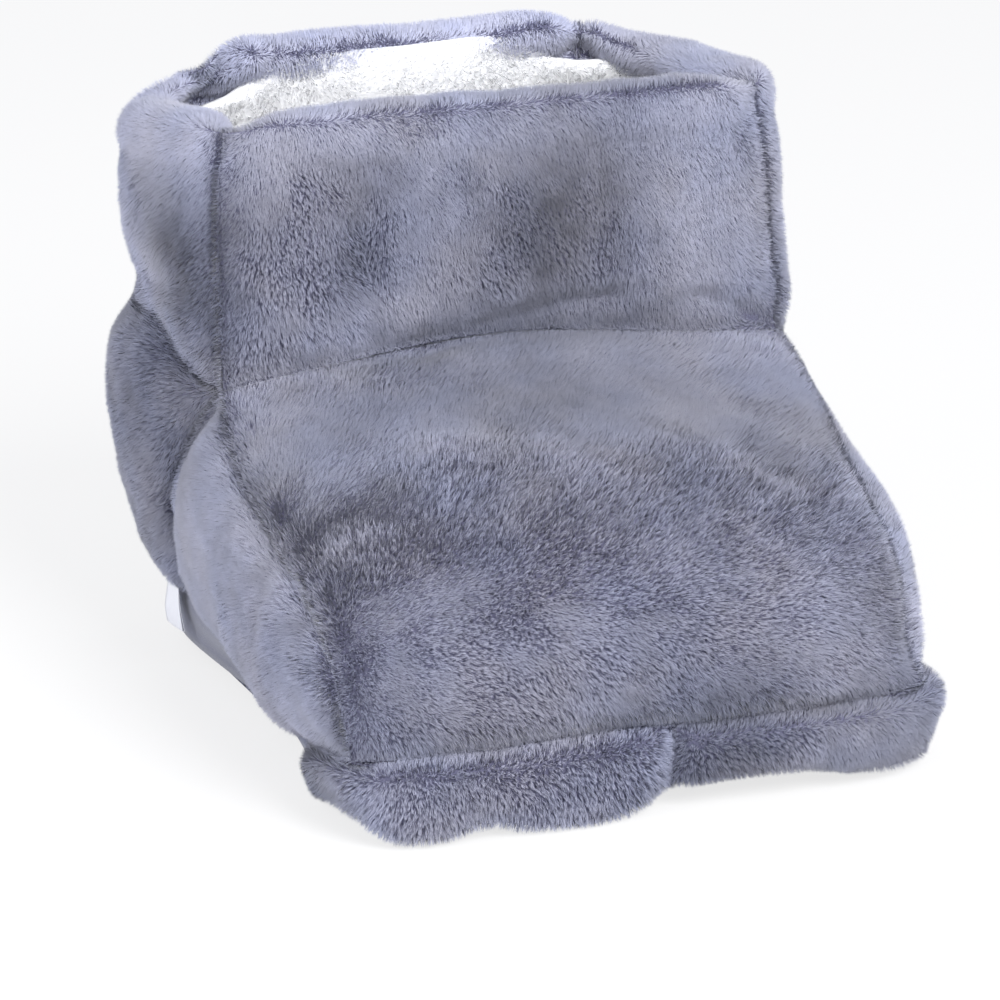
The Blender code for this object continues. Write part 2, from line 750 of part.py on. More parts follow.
def heater():
    half = base_half_width - heater_margin
    front, rear = heater_margin - toe_reach, rear_reach - heater_rear_clear
    low = heater_bottom
    block("heater_cloth_lower", (-half, front, low), (half, rear, low + heater_cloth),
          heater_felt, heater_margin / 2)
    block("heater_cloth_upper", (-half, front, low + heater_layer - heater_cloth),
          (half, rear, low + heater_layer), heater_felt, heater_margin / 2)

    middle = low + heater_layer / 2
    pitch = 2 * (half - wire_margin) / (wire_runs - 1)
    turn = pitch / 2
    toe, heel = front + wire_margin + turn, rear - wire_margin - turn
    route = []
    for run in range(wire_runs):
        x = wire_margin - half + run * pitch
        ends = (heel, toe) if run % 2 == 0 else (toe, heel)
        route += [Vector((x, ends[0], middle)), Vector((x, ends[1], middle))]
        if run < wire_runs - 1:
            way = -1 if run % 2 == 0 else 1
            for k in range(1, wire_turn_points):
                angle = math.pi * k / wire_turn_points
                route.append(Vector((x + turn - turn * math.cos(angle),
                                     ends[1] + way * turn * math.sin(angle), middle)))
    tube("heating_wire", route, wire_diameter, wire_silicone)

    inset = (heater_layer - heater_cloth * 2 - wire_diameter) / 2
    cut = rear - wire_margin / 2 - cutout_width / 2
    block("thermal_cutout", (-cutout_length / 2, cut, low + heater_cloth + inset),
          (cutout_length / 2, cut + cutout_width, low + heater_layer - heater_cloth - inset),
          moulded_black)

    start = rear + stack_gap
    block("heater_connector",
          (connector_x - connector_length / 2, start, low + inset),
          (connector_x + connector_length / 2, start + connector_width,
           low + heater_layer - inset), moulded_black)
    begin, end = start + connector_width + stack_gap, rear_reach + base_wall_thickness
    points = []
    for k in range(lead_steps + 1):
        share = k / lead_steps
        bend = ease((share - lead_straight_share) / lead_bend_share)
        x = connector_x + (gland_x - connector_x) * bend
        points.append((x, begin + (end - begin) * share, middle))
    tube("heater_lead", points, lead_diameter, moulded_black)


def gland():
    """Turned grommet in the rear wall, where the lead leaves. Its axis points to the rear."""
    bore, neck = gland_bore / 2, gland_neck
    face = base_wall_thickness + 2 * stack_gap
    nose = face + gland_flange_thickness
    profile = [(bore, nose + gland_nose), (gland_tip_radius, nose + gland_nose),
               (gland_nose_radius, nose), (gland_flange, nose), (gland_flange, face),
               (neck, face), (neck, stack_gap), (bore, stack_gap)]
    mesh = bmesh.new()
    ring = [mesh.verts.new((radius, 0, z)) for radius, z in profile]
    for near, far in zip(ring, ring[1:] + ring[:1]):
        mesh.edges.new((near, far))
    node = add_object("lead_gland", mesh, moulded_black)
    turn = node.modifiers.new("turn", "SCREW")
    turn.steps = turn.render_steps = round_steps
    turn.use_merge_vertices = True
    turn.merge_threshold = 0.01 * MM
    node.rotation_euler = (math.radians(-90), 0, 0)
    node.location = (gland_x, rear_reach, heater_bottom + heater_layer / 2)

    mesh = bmesh.new()
    bmesh.ops.create_cone(mesh, cap_ends=True, segments=round_steps, radius1=neck + stack_gap,
                          radius2=neck + stack_gap,
                          depth=2 * (base_wall_thickness + cut_overrun))
    hole = add_object("gland_hole", mesh, moulded_black)
    hole.rotation_euler = node.rotation_euler
    hole.location = node.location
    combine(bpy.data.objects["base_side_right"], hole, "DIFFERENCE")


def side_label():
    """Bare woven label, hanging from the seam under the heel. It turns about that seam."""
    inside = -(base_half_width + layer_gap / 2 + base_wall_thickness + stack_gap)
    tag = block("side_label", (-label_thickness / 2, -label_width / 2, stack_gap - label_drop),
                (label_thickness / 2, label_width / 2, stack_gap), label_white)
    tag.location = (inside - label_thickness / 2, label_y, base_top - stack_gap)


def new_material(name, colour, roughness, metallic=0.0):
    made = bpy.data.materials.new(name)
    made.use_nodes = True
    shader = made.node_tree.nodes["Principled BSDF"]
    linear = [((c + 0.055) / 1.055) ** 2.4 if c > 0.04045 else c / 12.92 for c in colour]
    shader.inputs["Base Color"].default_value = (*linear, 1)
    shader.inputs["Roughness"].default_value = roughness
    shader.inputs["Metallic"].default_value = metallic
    return made


for old in list(bpy.data.objects):
    bpy.data.objects.remove(old, do_unlink=True)
parts = bpy.data.collections.new("electric_foot_warmer")
cutters = bpy.data.collections.new("cutters")
for collection in (parts, cutters):
    bpy.context.scene.collection.children.link(collection)

plush = new_material("plush_grey", (0.55, 0.56, 0.64), 0.9)
fleece = new_material("fleece_white", (0.96, 0.96, 0.98), 0.95)
cloth = new_material("sole_cloth_grey", (0.42, 0.43, 0.50), 0.85)
foam = new_material("foam_cream", (0.86, 0.84, 0.78), 0.9)
heater_felt = new_material("heater_felt_white", (0.88, 0.88, 0.86), 0.9)
wire_silicone = new_material("wire_silicone_red", (0.70, 0.22, 0.18), 0.5)
moulded_black = new_material("moulded_black", (0.07, 0.07, 0.08), 0.45)
coil_nylon = new_material("coil_nylon_grey", (0.40, 0.41, 0.48), 0.4)
nickel = new_material("nickel_plate", (0.78, 0.77, 0.75), 0.3, 1.0)
label_white = new_material("label_satin_white", (0.93, 0.93, 0.95), 0.6)

collar_panel("collar_front_panel", FRONT_LEFT_ANGLE, FRONT_RIGHT_ANGLE, front_columns)
collar_panel("collar_left_panel", REAR_LEFT_ANGLE, FRONT_LEFT_ANGLE, left_columns)
collar_panel("collar_back_panel", REAR_SEAM_ANGLE, REAR_LEFT_ANGLE, back_columns)
collar_panel("collar_right_panel", -CORNER_ANGLE, REAR_SEAM_ANGLE, right_columns)
for heel_name, heel_first, heel_last, heel_columns in (
        ("heel_left_panel", lambda height: REAR_LEFT_ANGLE, gusset_rear(-1), left_columns),
        ("heel_back_panel", lambda height: REAR_SEAM_ANGLE, lambda height: REAR_LEFT_ANGLE, back_columns),
        ("heel_right_panel", gusset_rear(1), lambda height: REAR_SEAM_ANGLE, right_columns)):
    heel_core, heel_out = heel_grid(heel_first, heel_last, heel_columns)
    wall(heel_name, heel_core, heel_out, padded(heel_core, plush_crown, plush_edge), plush)
gusset("gusset_left_panel", -1)
gusset("gusset_right_panel", 1)
instep()
base_angles = base_runs()
base(base_angles)
zip_set()
heater()
gland()
side_label()
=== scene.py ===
"""Looks of a plush foot warmer: dense plush outside, white fleece inside, smooth cloth under the
heel, and the zip, label and heater that belong to it. Metres, +Z up, the toe towards -Y."""
import math

import bmesh
import bpy
import numpy as np
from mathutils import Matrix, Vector, noise
from mathutils.bvhtree import BVHTree
from mathutils.kdtree import KDTree


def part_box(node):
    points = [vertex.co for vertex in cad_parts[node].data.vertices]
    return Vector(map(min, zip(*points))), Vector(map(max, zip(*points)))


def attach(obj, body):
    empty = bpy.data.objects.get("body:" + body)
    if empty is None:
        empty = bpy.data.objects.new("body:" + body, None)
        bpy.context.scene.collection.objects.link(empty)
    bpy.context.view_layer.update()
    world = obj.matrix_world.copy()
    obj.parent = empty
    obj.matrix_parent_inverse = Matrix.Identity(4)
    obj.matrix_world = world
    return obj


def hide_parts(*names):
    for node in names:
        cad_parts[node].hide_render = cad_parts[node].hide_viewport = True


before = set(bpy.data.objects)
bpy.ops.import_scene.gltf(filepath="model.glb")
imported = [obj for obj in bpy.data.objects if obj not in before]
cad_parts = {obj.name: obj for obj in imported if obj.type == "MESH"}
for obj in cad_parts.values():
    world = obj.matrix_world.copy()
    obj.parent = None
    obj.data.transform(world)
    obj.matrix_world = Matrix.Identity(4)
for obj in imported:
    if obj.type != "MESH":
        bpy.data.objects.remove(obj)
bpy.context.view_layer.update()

MM = 0.001

# Camera, as the photograph was taken
TARGET = Vector((-9.9, -15.2, 85.0)) * MM
CAMERA_TURN = -19.607
CAMERA_RISE = 18.788
CAMERA_AWAY = 2.0
LENS = 183.5
SENSOR = 36.0

# Plush: smooth brushed pile, which stands open in tufts where it has been ruffled
PILE_SMOOTH = 3.4 * MM
PILE_RUFFLED = 4.8 * MM
PILE_WIDTH = 0.27 * MM
PILE_PER_CM2 = 580
# At the back and right, the share of those strands, which are as much wider
LESS_DENSE = {"heel_back_panel": 0.65, "heel_right_panel": 0.65, "collar_back_panel": 0.8,
              "collar_right_panel": 0.8, "gusset_right_panel": 0.8}
# Lean from upright, in degrees, smooth and ruffled
LEANS = (46.0, 22.0)
# How far strands stray and how much their light varies: smooth, and the more when ruffled
STRAY = (0.13, 0.22)
CHANCE = (0.45, 0.1)
CLUMPING = 0.7
LENGTH_SPREAD = (0.8, 1.08)
WIDTH_SPREAD = (0.8, 1.2)
# How much the painted shade at the strands' roots is lifted where the pile lies smooth
ROOT_LIGHT = 0.55
SKIN_INSET = 1.0 * MM
TUFT_SPACING = 1.35 * MM
SEAM_DEPTH = 2.4 * MM
SEAM_WIDTH = 6.5 * MM
SEAM_REACH = 4.5 * MM
SEAM_PILE = 4.2 * MM
ROUNDING = 5.5 * MM
CROWN = 1.6 * MM
CROWN_REACH = 16 * MM
RIM_LOW = 200 * MM
RIM_HEIGHT = 20.0 * MM
RIM_ROUNDING = 4.5 * MM
RIM_FILL = 2.2 * MM
RIM_FILL_REACH = 9 * MM
# Unevenness of the plush: height, width in mm and seed of each layer of waves
SWELL = ((1.6, 42, 0), (0.8, 16, 40))
RUFFLE = ((0.7, 26, 80), (0.6, 9, 90))
SHADE = ((0.07, 30, 120), (0.07, 7, 130))
RUFFLE_LEVEL = 0.45
FLOOR_GAP = 0.3 * MM
MOST_STRANDS = 190000

# Fleece
FLEECE_LENGTH = 3.8 * MM
FLEECE_WIDTH = 0.34 * MM
FLEECE_PER_CM2 = {"collar": 200, "heel": 60, "gusset": 50, "instep": 50, "insole": 60}
FLEECE_LEAN = 35
# How far a collar lining's free edge rises and laps over, in mm
LINING_RISE = {"collar_front_lining": 3.0, "collar_back_lining": 13.0}
USUAL_RISE = 9.0
LINING_LAP = {"collar_back_lining": 10.0}
USUAL_LAP = 5.5
# How much more than the plush the linings are drawn in at the seams
COLLAR_DRAW = 1.8
INSIDE_DRAW = 3.2
OPENING = np.array((-10, 60, 0)) * MM
FOOT_SPACE = np.array((0, 0, 60)) * MM

# Zip, stitches and label
TOOTH_PITCH = 1.5 * MM
COIL_RADIUS = 0.27 * MM
COIL_POINTS = 12
STITCH = 3.4 * MM
THREAD_RADIUS = 0.24 * MM
# Heights of the hems' stitches and sizes of the label, in mm and degrees
HEMS = (26.9, 10.2)
LABEL_HANG = 19
LABEL_FOLD = 0.4
LABEL_OPEN = 0.45
LABEL_TWIST = 9
LABEL_ROWS = 12

# Studio
WORLD_LIGHT = 0.6
FLOOR_GLOW = 0.75
LAMPS = (
    ("key", (0.35, -1.5, 1.3), 1.1, 40),
    ("fill", (-1.4, -0.7, 0.8), 1.2, 12),
)

WELD = 0.02 * MM
SEAM_ANGLE = math.radians(50)
CONTACT = 1.5 * MM
SEED = 7

# How the filling has settled: place, reach and move, in mm
PUSHES = (
    ((-117, 92, 232), (34, 40, 18), (-7, 3, -1)),      # left shoulder of the collar
    ((-117, 98, 205), (42, 50, 38), (-9.4, 3.4, 0)),   # left wall of the collar
    ((-94, 84, 240), (20, 40, 22), (13, -3, 0)),       # left wall's rim leans into the opening
    ((-96, 40, 236), (16, 30, 16), (7, 0, 1)),
    ((-86, 92, 230), (13, 16, 16), (9, -2, 0)),        # and fills the opening's rear left corner
    ((-92, 112, 246), (20, 24, 26), (-2, 0, 9)),       # above which the rim stands up
    ((-20, 112, 250), (46, 30, 30), (0, 0, -3)),
    ((68, 118, 248), (13, 26, 22), (0, 0, 4)),
    ((-119, 98, 135), (42, 55, 20), (-9.5, 3, 0)),     # fold above the heel's left side
    ((-120, 95, 100), (42, 55, 34), (-8.2, 2.4, 0)),   # left side of the heel
    ((116, 22, 190), (34, 44, 60), (7.5, 0, 0)),       # right corner of the collar
    ((92, 66, 240), (20, 42, 26), (-16, -5, 0)),       # right wall's rim leans into the opening
    ((121, -14, 116), (32, 46, 30), (12.5, -1, 2)),    # right gusset under the collar
    ((119, 22, 142), (20, 30, 20), (5, 0, 0)),
    ((124, -80, 80), (20, 60, 34), (6.5, 0, 2)),       # right gusset beside the toes
    ((122, -125, 26), (34, 40, 24), (12, 0, 2)),       # right end of the toe
    ((108, 94, 248), (34, 42, 32), (0, 0, -11)),       # right shoulder sags
    ((116, 40, 242), (18, 34, 16), (4, 0, -1)),        # and spreads in front of that
    ((40, 105, 250), (60, 30, 30), (0, 0, -3)),        # back rim sags
    ((-124, 10, 0), (18, 110, 22), (10, 0, 8)),        # left edge of the sole turns up
    ((-124, -45, 0), (24, 60, 18), (6, 0, 4)),
    ((-123, -82, 36), (24, 36, 14), (1, 0, -9)),       # left gusset hangs over the base
    ((124, 20, 0), (16, 100, 14), (-6, 0, 7)),         # right edge of the sole turns up
    ((-126, -135, 0), (22, 30, 18), (6, 3, 10)),       # left toe corner turns up
    ((50, -150, 0), (60, 22, 16), (0, 2, 6)),          # toe edge lifts right of the seam
    ((-20, -150, 0), (16, 22, 14), (0, 1, -3)),        # and waves left of it
    ((-62, -150, 0), (14, 22, 14), (0, 2, 4)),
)

# Seams that the filling pulls to one side: points, width and move, in mm
PULLS = (
    (((112, 8, 136), (117, -30, 112), (118, -76, 97), (117, -110, 76), (115, -135, 45)),
     10, (-6, 0, 1)),
    (((113, 9, 236), (113, 9, 190), (112, 9, 140)), 9, (-4, 0, 0)),
)

# Folds pressed into the plush: points, width and depth, in mm
FOLDS = (
    (((-136, 92, 212), (-130, 94, 228), (-114, 92, 240), (-98, 74, 242), (-84, 60, 238)), 5, 8),
    (((-112, 122, 216), (-104, 114, 236), (-92, 98, 246), (-78, 84, 240)), 5, 7),
    (((-34, 9, 143), (-5, 8, 149), (24, 8, 155), (48, 9, 156)), 4, 6),
    (((84, 10, 152), (100, 11, 147), (112, 14, 137)), 5, 5),
    (((-56, 8, 196), (-57, 8, 180), (-54, 8, 166)), 5, 3.5),
    (((-92, 8, 226), (-72, 8, 214), (-60, 8, 208)), 6, 2.5),
    (((-124, 40, 170), (-130, 80, 160), (-124, 118, 156)), 7, 4),
    (((-124, 58, 40), (-126, 52, 70), (-124, 40, 100), (-118, 24, 122)), 6, 4),
)

# Ruffled patches: place and reach in mm, how open the pile stands, and how much painted shade
# darkens it (below 0, painted light lightens it)
PATCHES = (
    ((24, 8, 202), 38, 1.0, 0.36), ((6, 8, 184), 22, 0.8, 0.2), ((-54, 8, 206), 20, 0.9, 0.34),
    ((-56, 8, 180), 13, 1.0, 0.3), ((-76, 8, 218), 14, 0.9, 0.16), ((-92, 8, 196), 16, 0.7, 0.14),
    ((-84, 8, 160), 28, 0.8, 0.1), ((-20, 8, 164), 34, 0.8, 0.06), ((46, 8, 170), 24, 0.7, 0.1),
    ((-14, 8, 196), 12, -0.4, -0.08), ((84, 8, 190), 28, -0.3, -0.12),
    ((-30, 8, 228), 20, -0.6, 0.0), ((30, 8, 236), 60, -0.8, 0.07),
    ((96, 8, 226), 26, -0.6, -0.04), ((-80, 8, 244), 40, -0.6, -0.06),
    ((-63, -48, 107), 34, 0.2, -0.1), ((-10, -70, 104), 40, 0.7, 0.02),
    ((42, -76, 99), 34, 0.9, 0.06), ((-34, -106, 80), 34, 0.6, 0.0),
    ((24, -104, 80), 34, 0.8, 0.12), ((78, -96, 88), 26, 0.7, 0.02),
    ((0, -10, 128), 60, -0.7, 0.13), ((84, -40, 108), 34, -0.8, -0.04),
    ((-86, -20, 118), 26, -0.8, 0.04), ((0, -146, 44), 90, 0.2, 0.0),
    ((60, -20, 120), 40, -0.6, 0.06), ((-90, -50, 104), 18, -0.8, -0.04),
    ((-126, 62, 112), 40, 0.7, 0.22), ((-124, 34, 182), 27, 0.6, 0.58),
    ((-122, 30, 150), 22, 0.5, 0.1), ((-124, 50, 226), 34, -0.8, -0.04),
    ((-122, 10, 90), 40, -0.8, -0.1), ((-122, -70, 56), 30, 0.5, 0.12),
    ((34, -152, 20), 26, 0.8, 0.26), ((94, -152, 20), 26, -0.6, 0.0),
    ((-60, -152, 16), 50, 0.5, 0.04), ((0, 104, 252), 130, -1.2, -0.45),
    ((116, 60, 246), 46, -1.0, -0.15), ((-112, 70, 246), 46, -1.0, -0.1),
)


# Small tools

def only(*pieces):
    bpy.ops.object.select_all(action="DESELECT")
    for piece in pieces:
        piece.select_set(True)
    bpy.context.view_layer.objects.active = pieces[0]


def change(piece, kind, **settings):
    """Adds one modifier, sets it and applies it."""
    only(piece)
    modifier = piece.modifiers.new(kind.lower(), kind)
    for key, value in settings.items():
        setattr(modifier, key, value)
    bpy.ops.object.modifier_apply(modifier=modifier.name)


def new_object(name, data):
    made = bpy.data.objects.new(name, data)
    bpy.context.scene.collection.objects.link(made)
    return made


def edit_all(piece):
    """Opens a piece in edit mode, with all of it selected."""
    only(piece)
    bpy.ops.object.mode_set(mode="EDIT")
    bpy.ops.mesh.select_all(action="SELECT")


def copy_of(node, name):
    """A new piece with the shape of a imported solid, welded into one skin of quads."""
    piece = new_object(name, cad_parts[node].data.copy())
    piece.data.materials.clear()
    edit_all(piece)
    bpy.ops.mesh.remove_doubles(threshold=WELD)
    bpy.ops.mesh.customdata_custom_splitnormals_clear()
    bpy.ops.mesh.tris_convert_to_quads(face_threshold=math.radians(70),
                                       shape_threshold=math.radians(80))
    bpy.ops.mesh.mark_sharp(clear=True)
    bpy.ops.mesh.faces_shade_smooth()
    bpy.ops.object.mode_set(mode="OBJECT")
    return piece


def round_edges(piece, width, segments, degrees=50, **settings):
    change(piece, "BEVEL", width=width, segments=segments, limit_method="ANGLE",
           angle_limit=math.radians(degrees), **settings)


def obstacles(left_out):
    """Everything packed but the node left out, as one tree for rays."""
    places, faces = [], []
    for name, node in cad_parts.items():
        if name == left_out:
            continue
        start = len(places)
        places += [vertex.co[:] for vertex in node.data.vertices]
        faces += [[start + k for k in face.vertices] for face in node.data.polygons]
    return BVHTree.FromPolygons(places, faces)


def is_open(place, normal, tree, clearance):
    """Whether a face looks out into the open, and not at a neighbour or at the floor."""
    if place.z < 3 * MM and normal.z < -0.7:
        return False
    return tree.ray_cast(place + normal * (0.05 * MM), normal, clearance)[0] is None


def keep_seams(mesh, tree):
    """Creases the edges between an outer face and one at a seam, so that neighbours still meet
    when they are made smooth, and the free rims turn round."""
    cage = bmesh.new()
    cage.from_mesh(mesh)
    crease = cage.edges.layers.float.new("crease_edge")
    outer = {face: is_open(face.calc_center_median(), face.normal, tree, CONTACT)
             for face in cage.faces}
    for edge in cage.edges:
        both = all(outer[face] for face in edge.link_faces)
        edge[crease] = 0.0 if both or edge.calc_face_angle(0) < SEAM_ANGLE else 1.0
    cage.to_mesh(mesh)
    cage.free()


def read(items, key, width=3, kind=float):
    """One property of all these items of a mesh, as rows of width numbers."""
    found = np.empty(len(items) * width, kind)
    items.foreach_get(key, found)
    return found.reshape(-1, width)


def points_of(mesh):
    return read(mesh.vertices, "co")


def set_points(mesh, places):
    mesh.vertices.foreach_set("co", places.ravel())
    mesh.update()


def unit(vectors):
    return vectors / np.maximum(np.linalg.norm(vectors, axis=-1, keepdims=True), 1e-12)


def waves(places, size, seed):
    """Smooth noise from -1 to 1 at each place, with hills about as wide as size."""
    shift = Vector((seed * 7.31, seed * 3.17, seed * 1.93))
    return np.array([noise.noise(Vector(place) / size + shift) for place in places])


def layered(places, layers, seed, base=0.0):
    """Several layers of waves on top of a base value."""
    for height, size, shift in layers:
        base = base + height * waves(places, size * MM, seed + shift)
    return base


def smooth_step(t):
    t = np.clip(t, 0.0, 1.0)
    return t * t * (3 - 2 * t)


def close_to(away, width):
    """1 where the distance is none, and next to 0 from about twice the width."""
    return np.exp(-(away / width) ** 2)


def to_line(places, points):
    """How far each place is from a line through points in mm."""
    nearest = np.full(len(places), np.inf)
    for start, end in zip(points, points[1:]):
        start, way = np.array(start) * MM, (np.array(end) - start) * MM
        share = np.clip(((places - start) @ way) / (way @ way), 0, 1)
        nearest = np.minimum(nearest, np.linalg.norm(places - start - share[:, None] * way, axis=1))
    return nearest


def settled(places):
    """The places after the filling has sagged and bulged."""
    moved = places.copy()
    for place, reach, move in PUSHES:
        away = (places / MM - place) / reach
        moved += np.exp(-(away ** 2).sum(1))[:, None] * np.array(move) * MM
    for points, width, move in PULLS:
        near = close_to(to_line(places, points), width * MM)
        moved += near[:, None] * np.array(move) * MM
    return moved


def fold_depth(places):
    """How deep the pressed folds go at each place."""
    depth = np.zeros(len(places))
    for points, width, deep in FOLDS:
        near = close_to(to_line(places, points), width * MM)
        depth = np.maximum(depth, deep * MM * near)
    return depth


# Materials

def linear(hex_colour):
    """sRGB hex to linear, with full alpha."""
    channels = [int(hex_colour[k:k + 2], 16) / 255 for k in (1, 3, 5)]
    return [((c + 0.055) / 1.055) ** 2.4 if c > 0.04045 else c / 12.92 for c in channels] + [1.0]


def new_material(name, roughness, sheen=0.0, metallic=0.0, shine=0.5):
    """A Principled material; returns it with its shader. Constants sit on the shader's sockets."""
    made = bpy.data.materials.new(name)
    made.use_nodes = True
    shader = made.node_tree.nodes["Principled BSDF"]
    shader.inputs["Roughness"].default_value = roughness
    shader.inputs["Metallic"].default_value = metallic
    shader.inputs["Specular IOR Level"].default_value = shine
    shader.inputs["Sheen Weight"].default_value = sheen
    shader.inputs["Sheen Roughness"].default_value = 0.5
    return made, shader


def add(shader, kind, values=None, out=0, **settings):
    """Adds a node beside the shader and returns one of its outputs. values set its inputs by name
    or number, or link them. A texture reads the place on the piece, in its own metres."""
    tree = shader.id_data
    node = tree.nodes.new("ShaderNode" + kind)
    for key, value in settings.items():
        setattr(node, key, value)
    if kind.startswith("Tex") and "Vector" in node.inputs:
        values = {"Vector": add(shader, "TexCoord", out="Object"), **values}
    for key, value in (values or {}).items():
        if isinstance(value, bpy.types.NodeSocket):
            tree.links.new(value, node.inputs[key])
        else:
            node.inputs[key].default_value = value
    return node.outputs[out]


def link(output, shader, key):
    shader.id_data.links.new(output, shader.inputs[key])


def two_tones(shader, pattern, tones):
    """A colour between two tones, by a pattern."""
    first, second = (linear(tone) for tone in tones)
    return add(shader, "Mix", {0: pattern, 6: first, 7: second}, 2, data_type="RGBA")


def darkened(shader, colour, light):
    """A colour times a light."""
    return add(shader, "Mix", {0: 1.0, 6: colour, 7: light}, 2, data_type="RGBA",
               blend_type="MULTIPLY")


def surface(shader, colour, height=None, depth=0.0, strength=0.5):
    """Gives a material its colour, and a relief that is depth mm deep."""
    link(colour, shader, "Base Color")
    if height is not None:
        link(add(shader, "Bump", {"Height": height, "Strength": strength,
                                  "Distance": depth * MM}), shader, "Normal")


def grained(name, roughness, tones, scale, detail=2.0, distortion=0.0, depth=0.0, **feel):
    """A material in two tones of one fine grain, with scale cells to the metre."""
    made, shader = new_material(name, roughness, **feel)
    grain = add(shader, "TexNoise", {"Scale": scale, "Detail": detail, "Distortion": distortion})
    surface(shader, two_tones(shader, grain, tones), grain if depth else None, depth)
    return made


def plush_material():
    """Faux rabbit plush: dense polyester pile, with painted shade dark towards the root, deep in
    the pile, and light at the tip.
    """
    made, shader = new_material("plush_pile", 0.95, sheen=0.3, shine=0.15)
    strand = add(shader, "Attribute", out="Vector", attribute_name="strand")
    height, chance, tone = add(shader, "SeparateXYZ", {0: strand}).node.outputs
    # Brushed patches about 40 mm wide, some a little cooler and darker: painted shade and sheen of
    # the nap brushed different ways
    patch = add(shader, "TexNoise", {"Scale": 24.0, "Detail": 3.0})
    brushed_shade = add(shader, "MapRange", {0: patch, 1: 0.35, 2: 0.65})
    tip = two_tones(shader, brushed_shade, ("#cccde0", "#c2c7e2"))
    # Painted shade: the strand's colour darkens from tip to root, as the shade deep in the pile
    root = two_tones(shader, brushed_shade, ("#6b6980", "#666a86"))
    rise = add(shader, "MapRange", {0: height, 1: 0.0, 2: 0.8}, interpolation_type="SMOOTHSTEP")
    colour = add(shader, "Mix", {0: rise, 6: root, 7: tip}, 2, data_type="RGBA")
    colour = darkened(shader, colour, add(shader, "MapRange", {0: chance, 3: 0.84, 4: 1.12}))
    # Painted light and shade of each panel and patch, carried by the strand's tone
    colour = darkened(shader, colour, add(shader, "MapRange", {0: tone, 3: 0.15, 4: 1.15}))
    surface(shader, colour)
    return made


def cloth_material():
    """Short-nap knit, brushed smooth: slate blue, a little uneven where the nap is rubbed."""
    made, shader = new_material("short_nap_cloth", 0.9, sheen=0.5, shine=0.2)
    rubbed = add(shader, "TexNoise", {"Scale": 38.0, "Detail": 3.0})
    nap = add(shader, "TexNoise", {"Scale": 1500.0, "Detail": 3.0})
    fleck = add(shader, "MapRange", {0: nap, 1: 0.3, 2: 0.7, 3: 0.8, 4: 1.12})
    colour = two_tones(shader, rubbed, ("#585c74", "#70738a"))
    surface(shader, darkened(shader, colour, fleck), nap, 0.4, 0.6)
    return made


def sole_material():
    """Slate cloth with small moulded anti-slip dots, 7 mm apart, on its underside."""
    made, shader = new_material("dotted_sole_cloth", 0.85, shine=0.25)
    cells = add(shader, "TexVoronoi", {"Scale": 1 / (7 * MM), "Randomness": 0.0}, "Distance",
                voronoi_dimensions="2D")
    dot = add(shader, "MapRange", {0: cells, 1: 0.22, 2: 0.17})
    weave = add(shader, "TexNoise", {"Scale": 1200.0})
    colour = two_tones(shader, weave, ("#585b70", "#6e7186"))
    colour = add(shader, "Mix", {0: dot, 6: colour, 7: linear("#3d3f4d")}, 2, data_type="RGBA")
    surface(shader, colour, add(shader, "Math", {0: weave, 1: dot}, operation="ADD"), 0.5)
    return made


def foam_material():
    """Cut polyurethane foam: cream, matt, with open cells about 1 mm wide, painted darker down in
    each cell as shade.
    """
    made, shader = new_material("cushion_foam", 0.95, shine=0.2)
    cells = add(shader, "TexVoronoi", {"Scale": 1 / (1.1 * MM)}, "Distance")
    deep = add(shader, "MapRange", {0: cells, 1: 0.0, 2: 0.6})
    # Painted shade: darker down in each cell's hollow
    surface(shader, two_tones(shader, deep, ("#c9c0a6", "#ece5d2")), deep, 0.6, 0.7)
    return made


def tape_material():
    """Woven zip tape: slate polyester with a herringbone of 0.6 mm ribs."""
    made, shader = new_material("woven_tape", 0.75, sheen=0.2, shine=0.3)
    ribs = add(shader, "TexWave", {"Scale": 1 / (4 * MM), "Distortion": 0.4}, "Fac",
               bands_direction="DIAGONAL")
    surface(shader, two_tones(shader, ribs, ("#5c5f73", "#7b7e94")), ribs, 0.2, 0.8)
    return made


def nickel_material():
    """Nickel-plated zinc casting: bright, faintly worn, with fine tumbling marks."""
    made, shader = new_material("nickel_plate", 0.28, metallic=1.0)
    worn = add(shader, "TexNoise", {"Scale": 260.0, "Detail": 4.0})
    marks = add(shader, "TexNoise", {"Scale": 2400.0})
    link(add(shader, "MapRange", {0: worn, 1: 0.3, 2: 0.7, 3: 0.2, 4: 0.36}), shader, "Roughness")
    surface(shader, two_tones(shader, worn, ("#b9b3a8", "#d6d2ca")), marks, 0.02)
    return made


def satin_material():
    """White satin ribbon: fine warp threads across, 0.5 mm apart, with a soft gloss."""
    made, shader = new_material("label_satin", 0.42, sheen=0.3)
    warp = add(shader, "TexWave", {"Scale": 1 / (3 * MM), "Distortion": 0.2}, "Fac",
               bands_direction="Y")
    surface(shader, two_tones(shader, warp, ("#e4e6ef", "#fafbff")), warp, 0.08)
    return made


plush = plush_material()
cloth = cloth_material()
nickel = nickel_material()
# Knitted backing and the crowded roots, seen only down between the tufts: its dark grey is painted
# shade, as deep in the pile
backing = grained("plush_backing", 1.0, ("#55556b", "#74748b"), 700.0, depth=0.5, shine=0.1)
# Sherpa fleece: short curled white polyester pile, very soft and without shine
fleece = grained("sherpa_fleece", 1.0, ("#f6f7fb", "#ffffff"), 320.0, 4.0, depth=1.0, sheen=0.2,
                 shine=0.1)
# Needled felt: off-white, with fine fibres lying every way
felt = grained("needled_felt", 0.95, ("#c9c9c1", "#eeeee8"), 420.0, 5.0, 1.6, 0.3, sheen=0.15,
               shine=0.15)
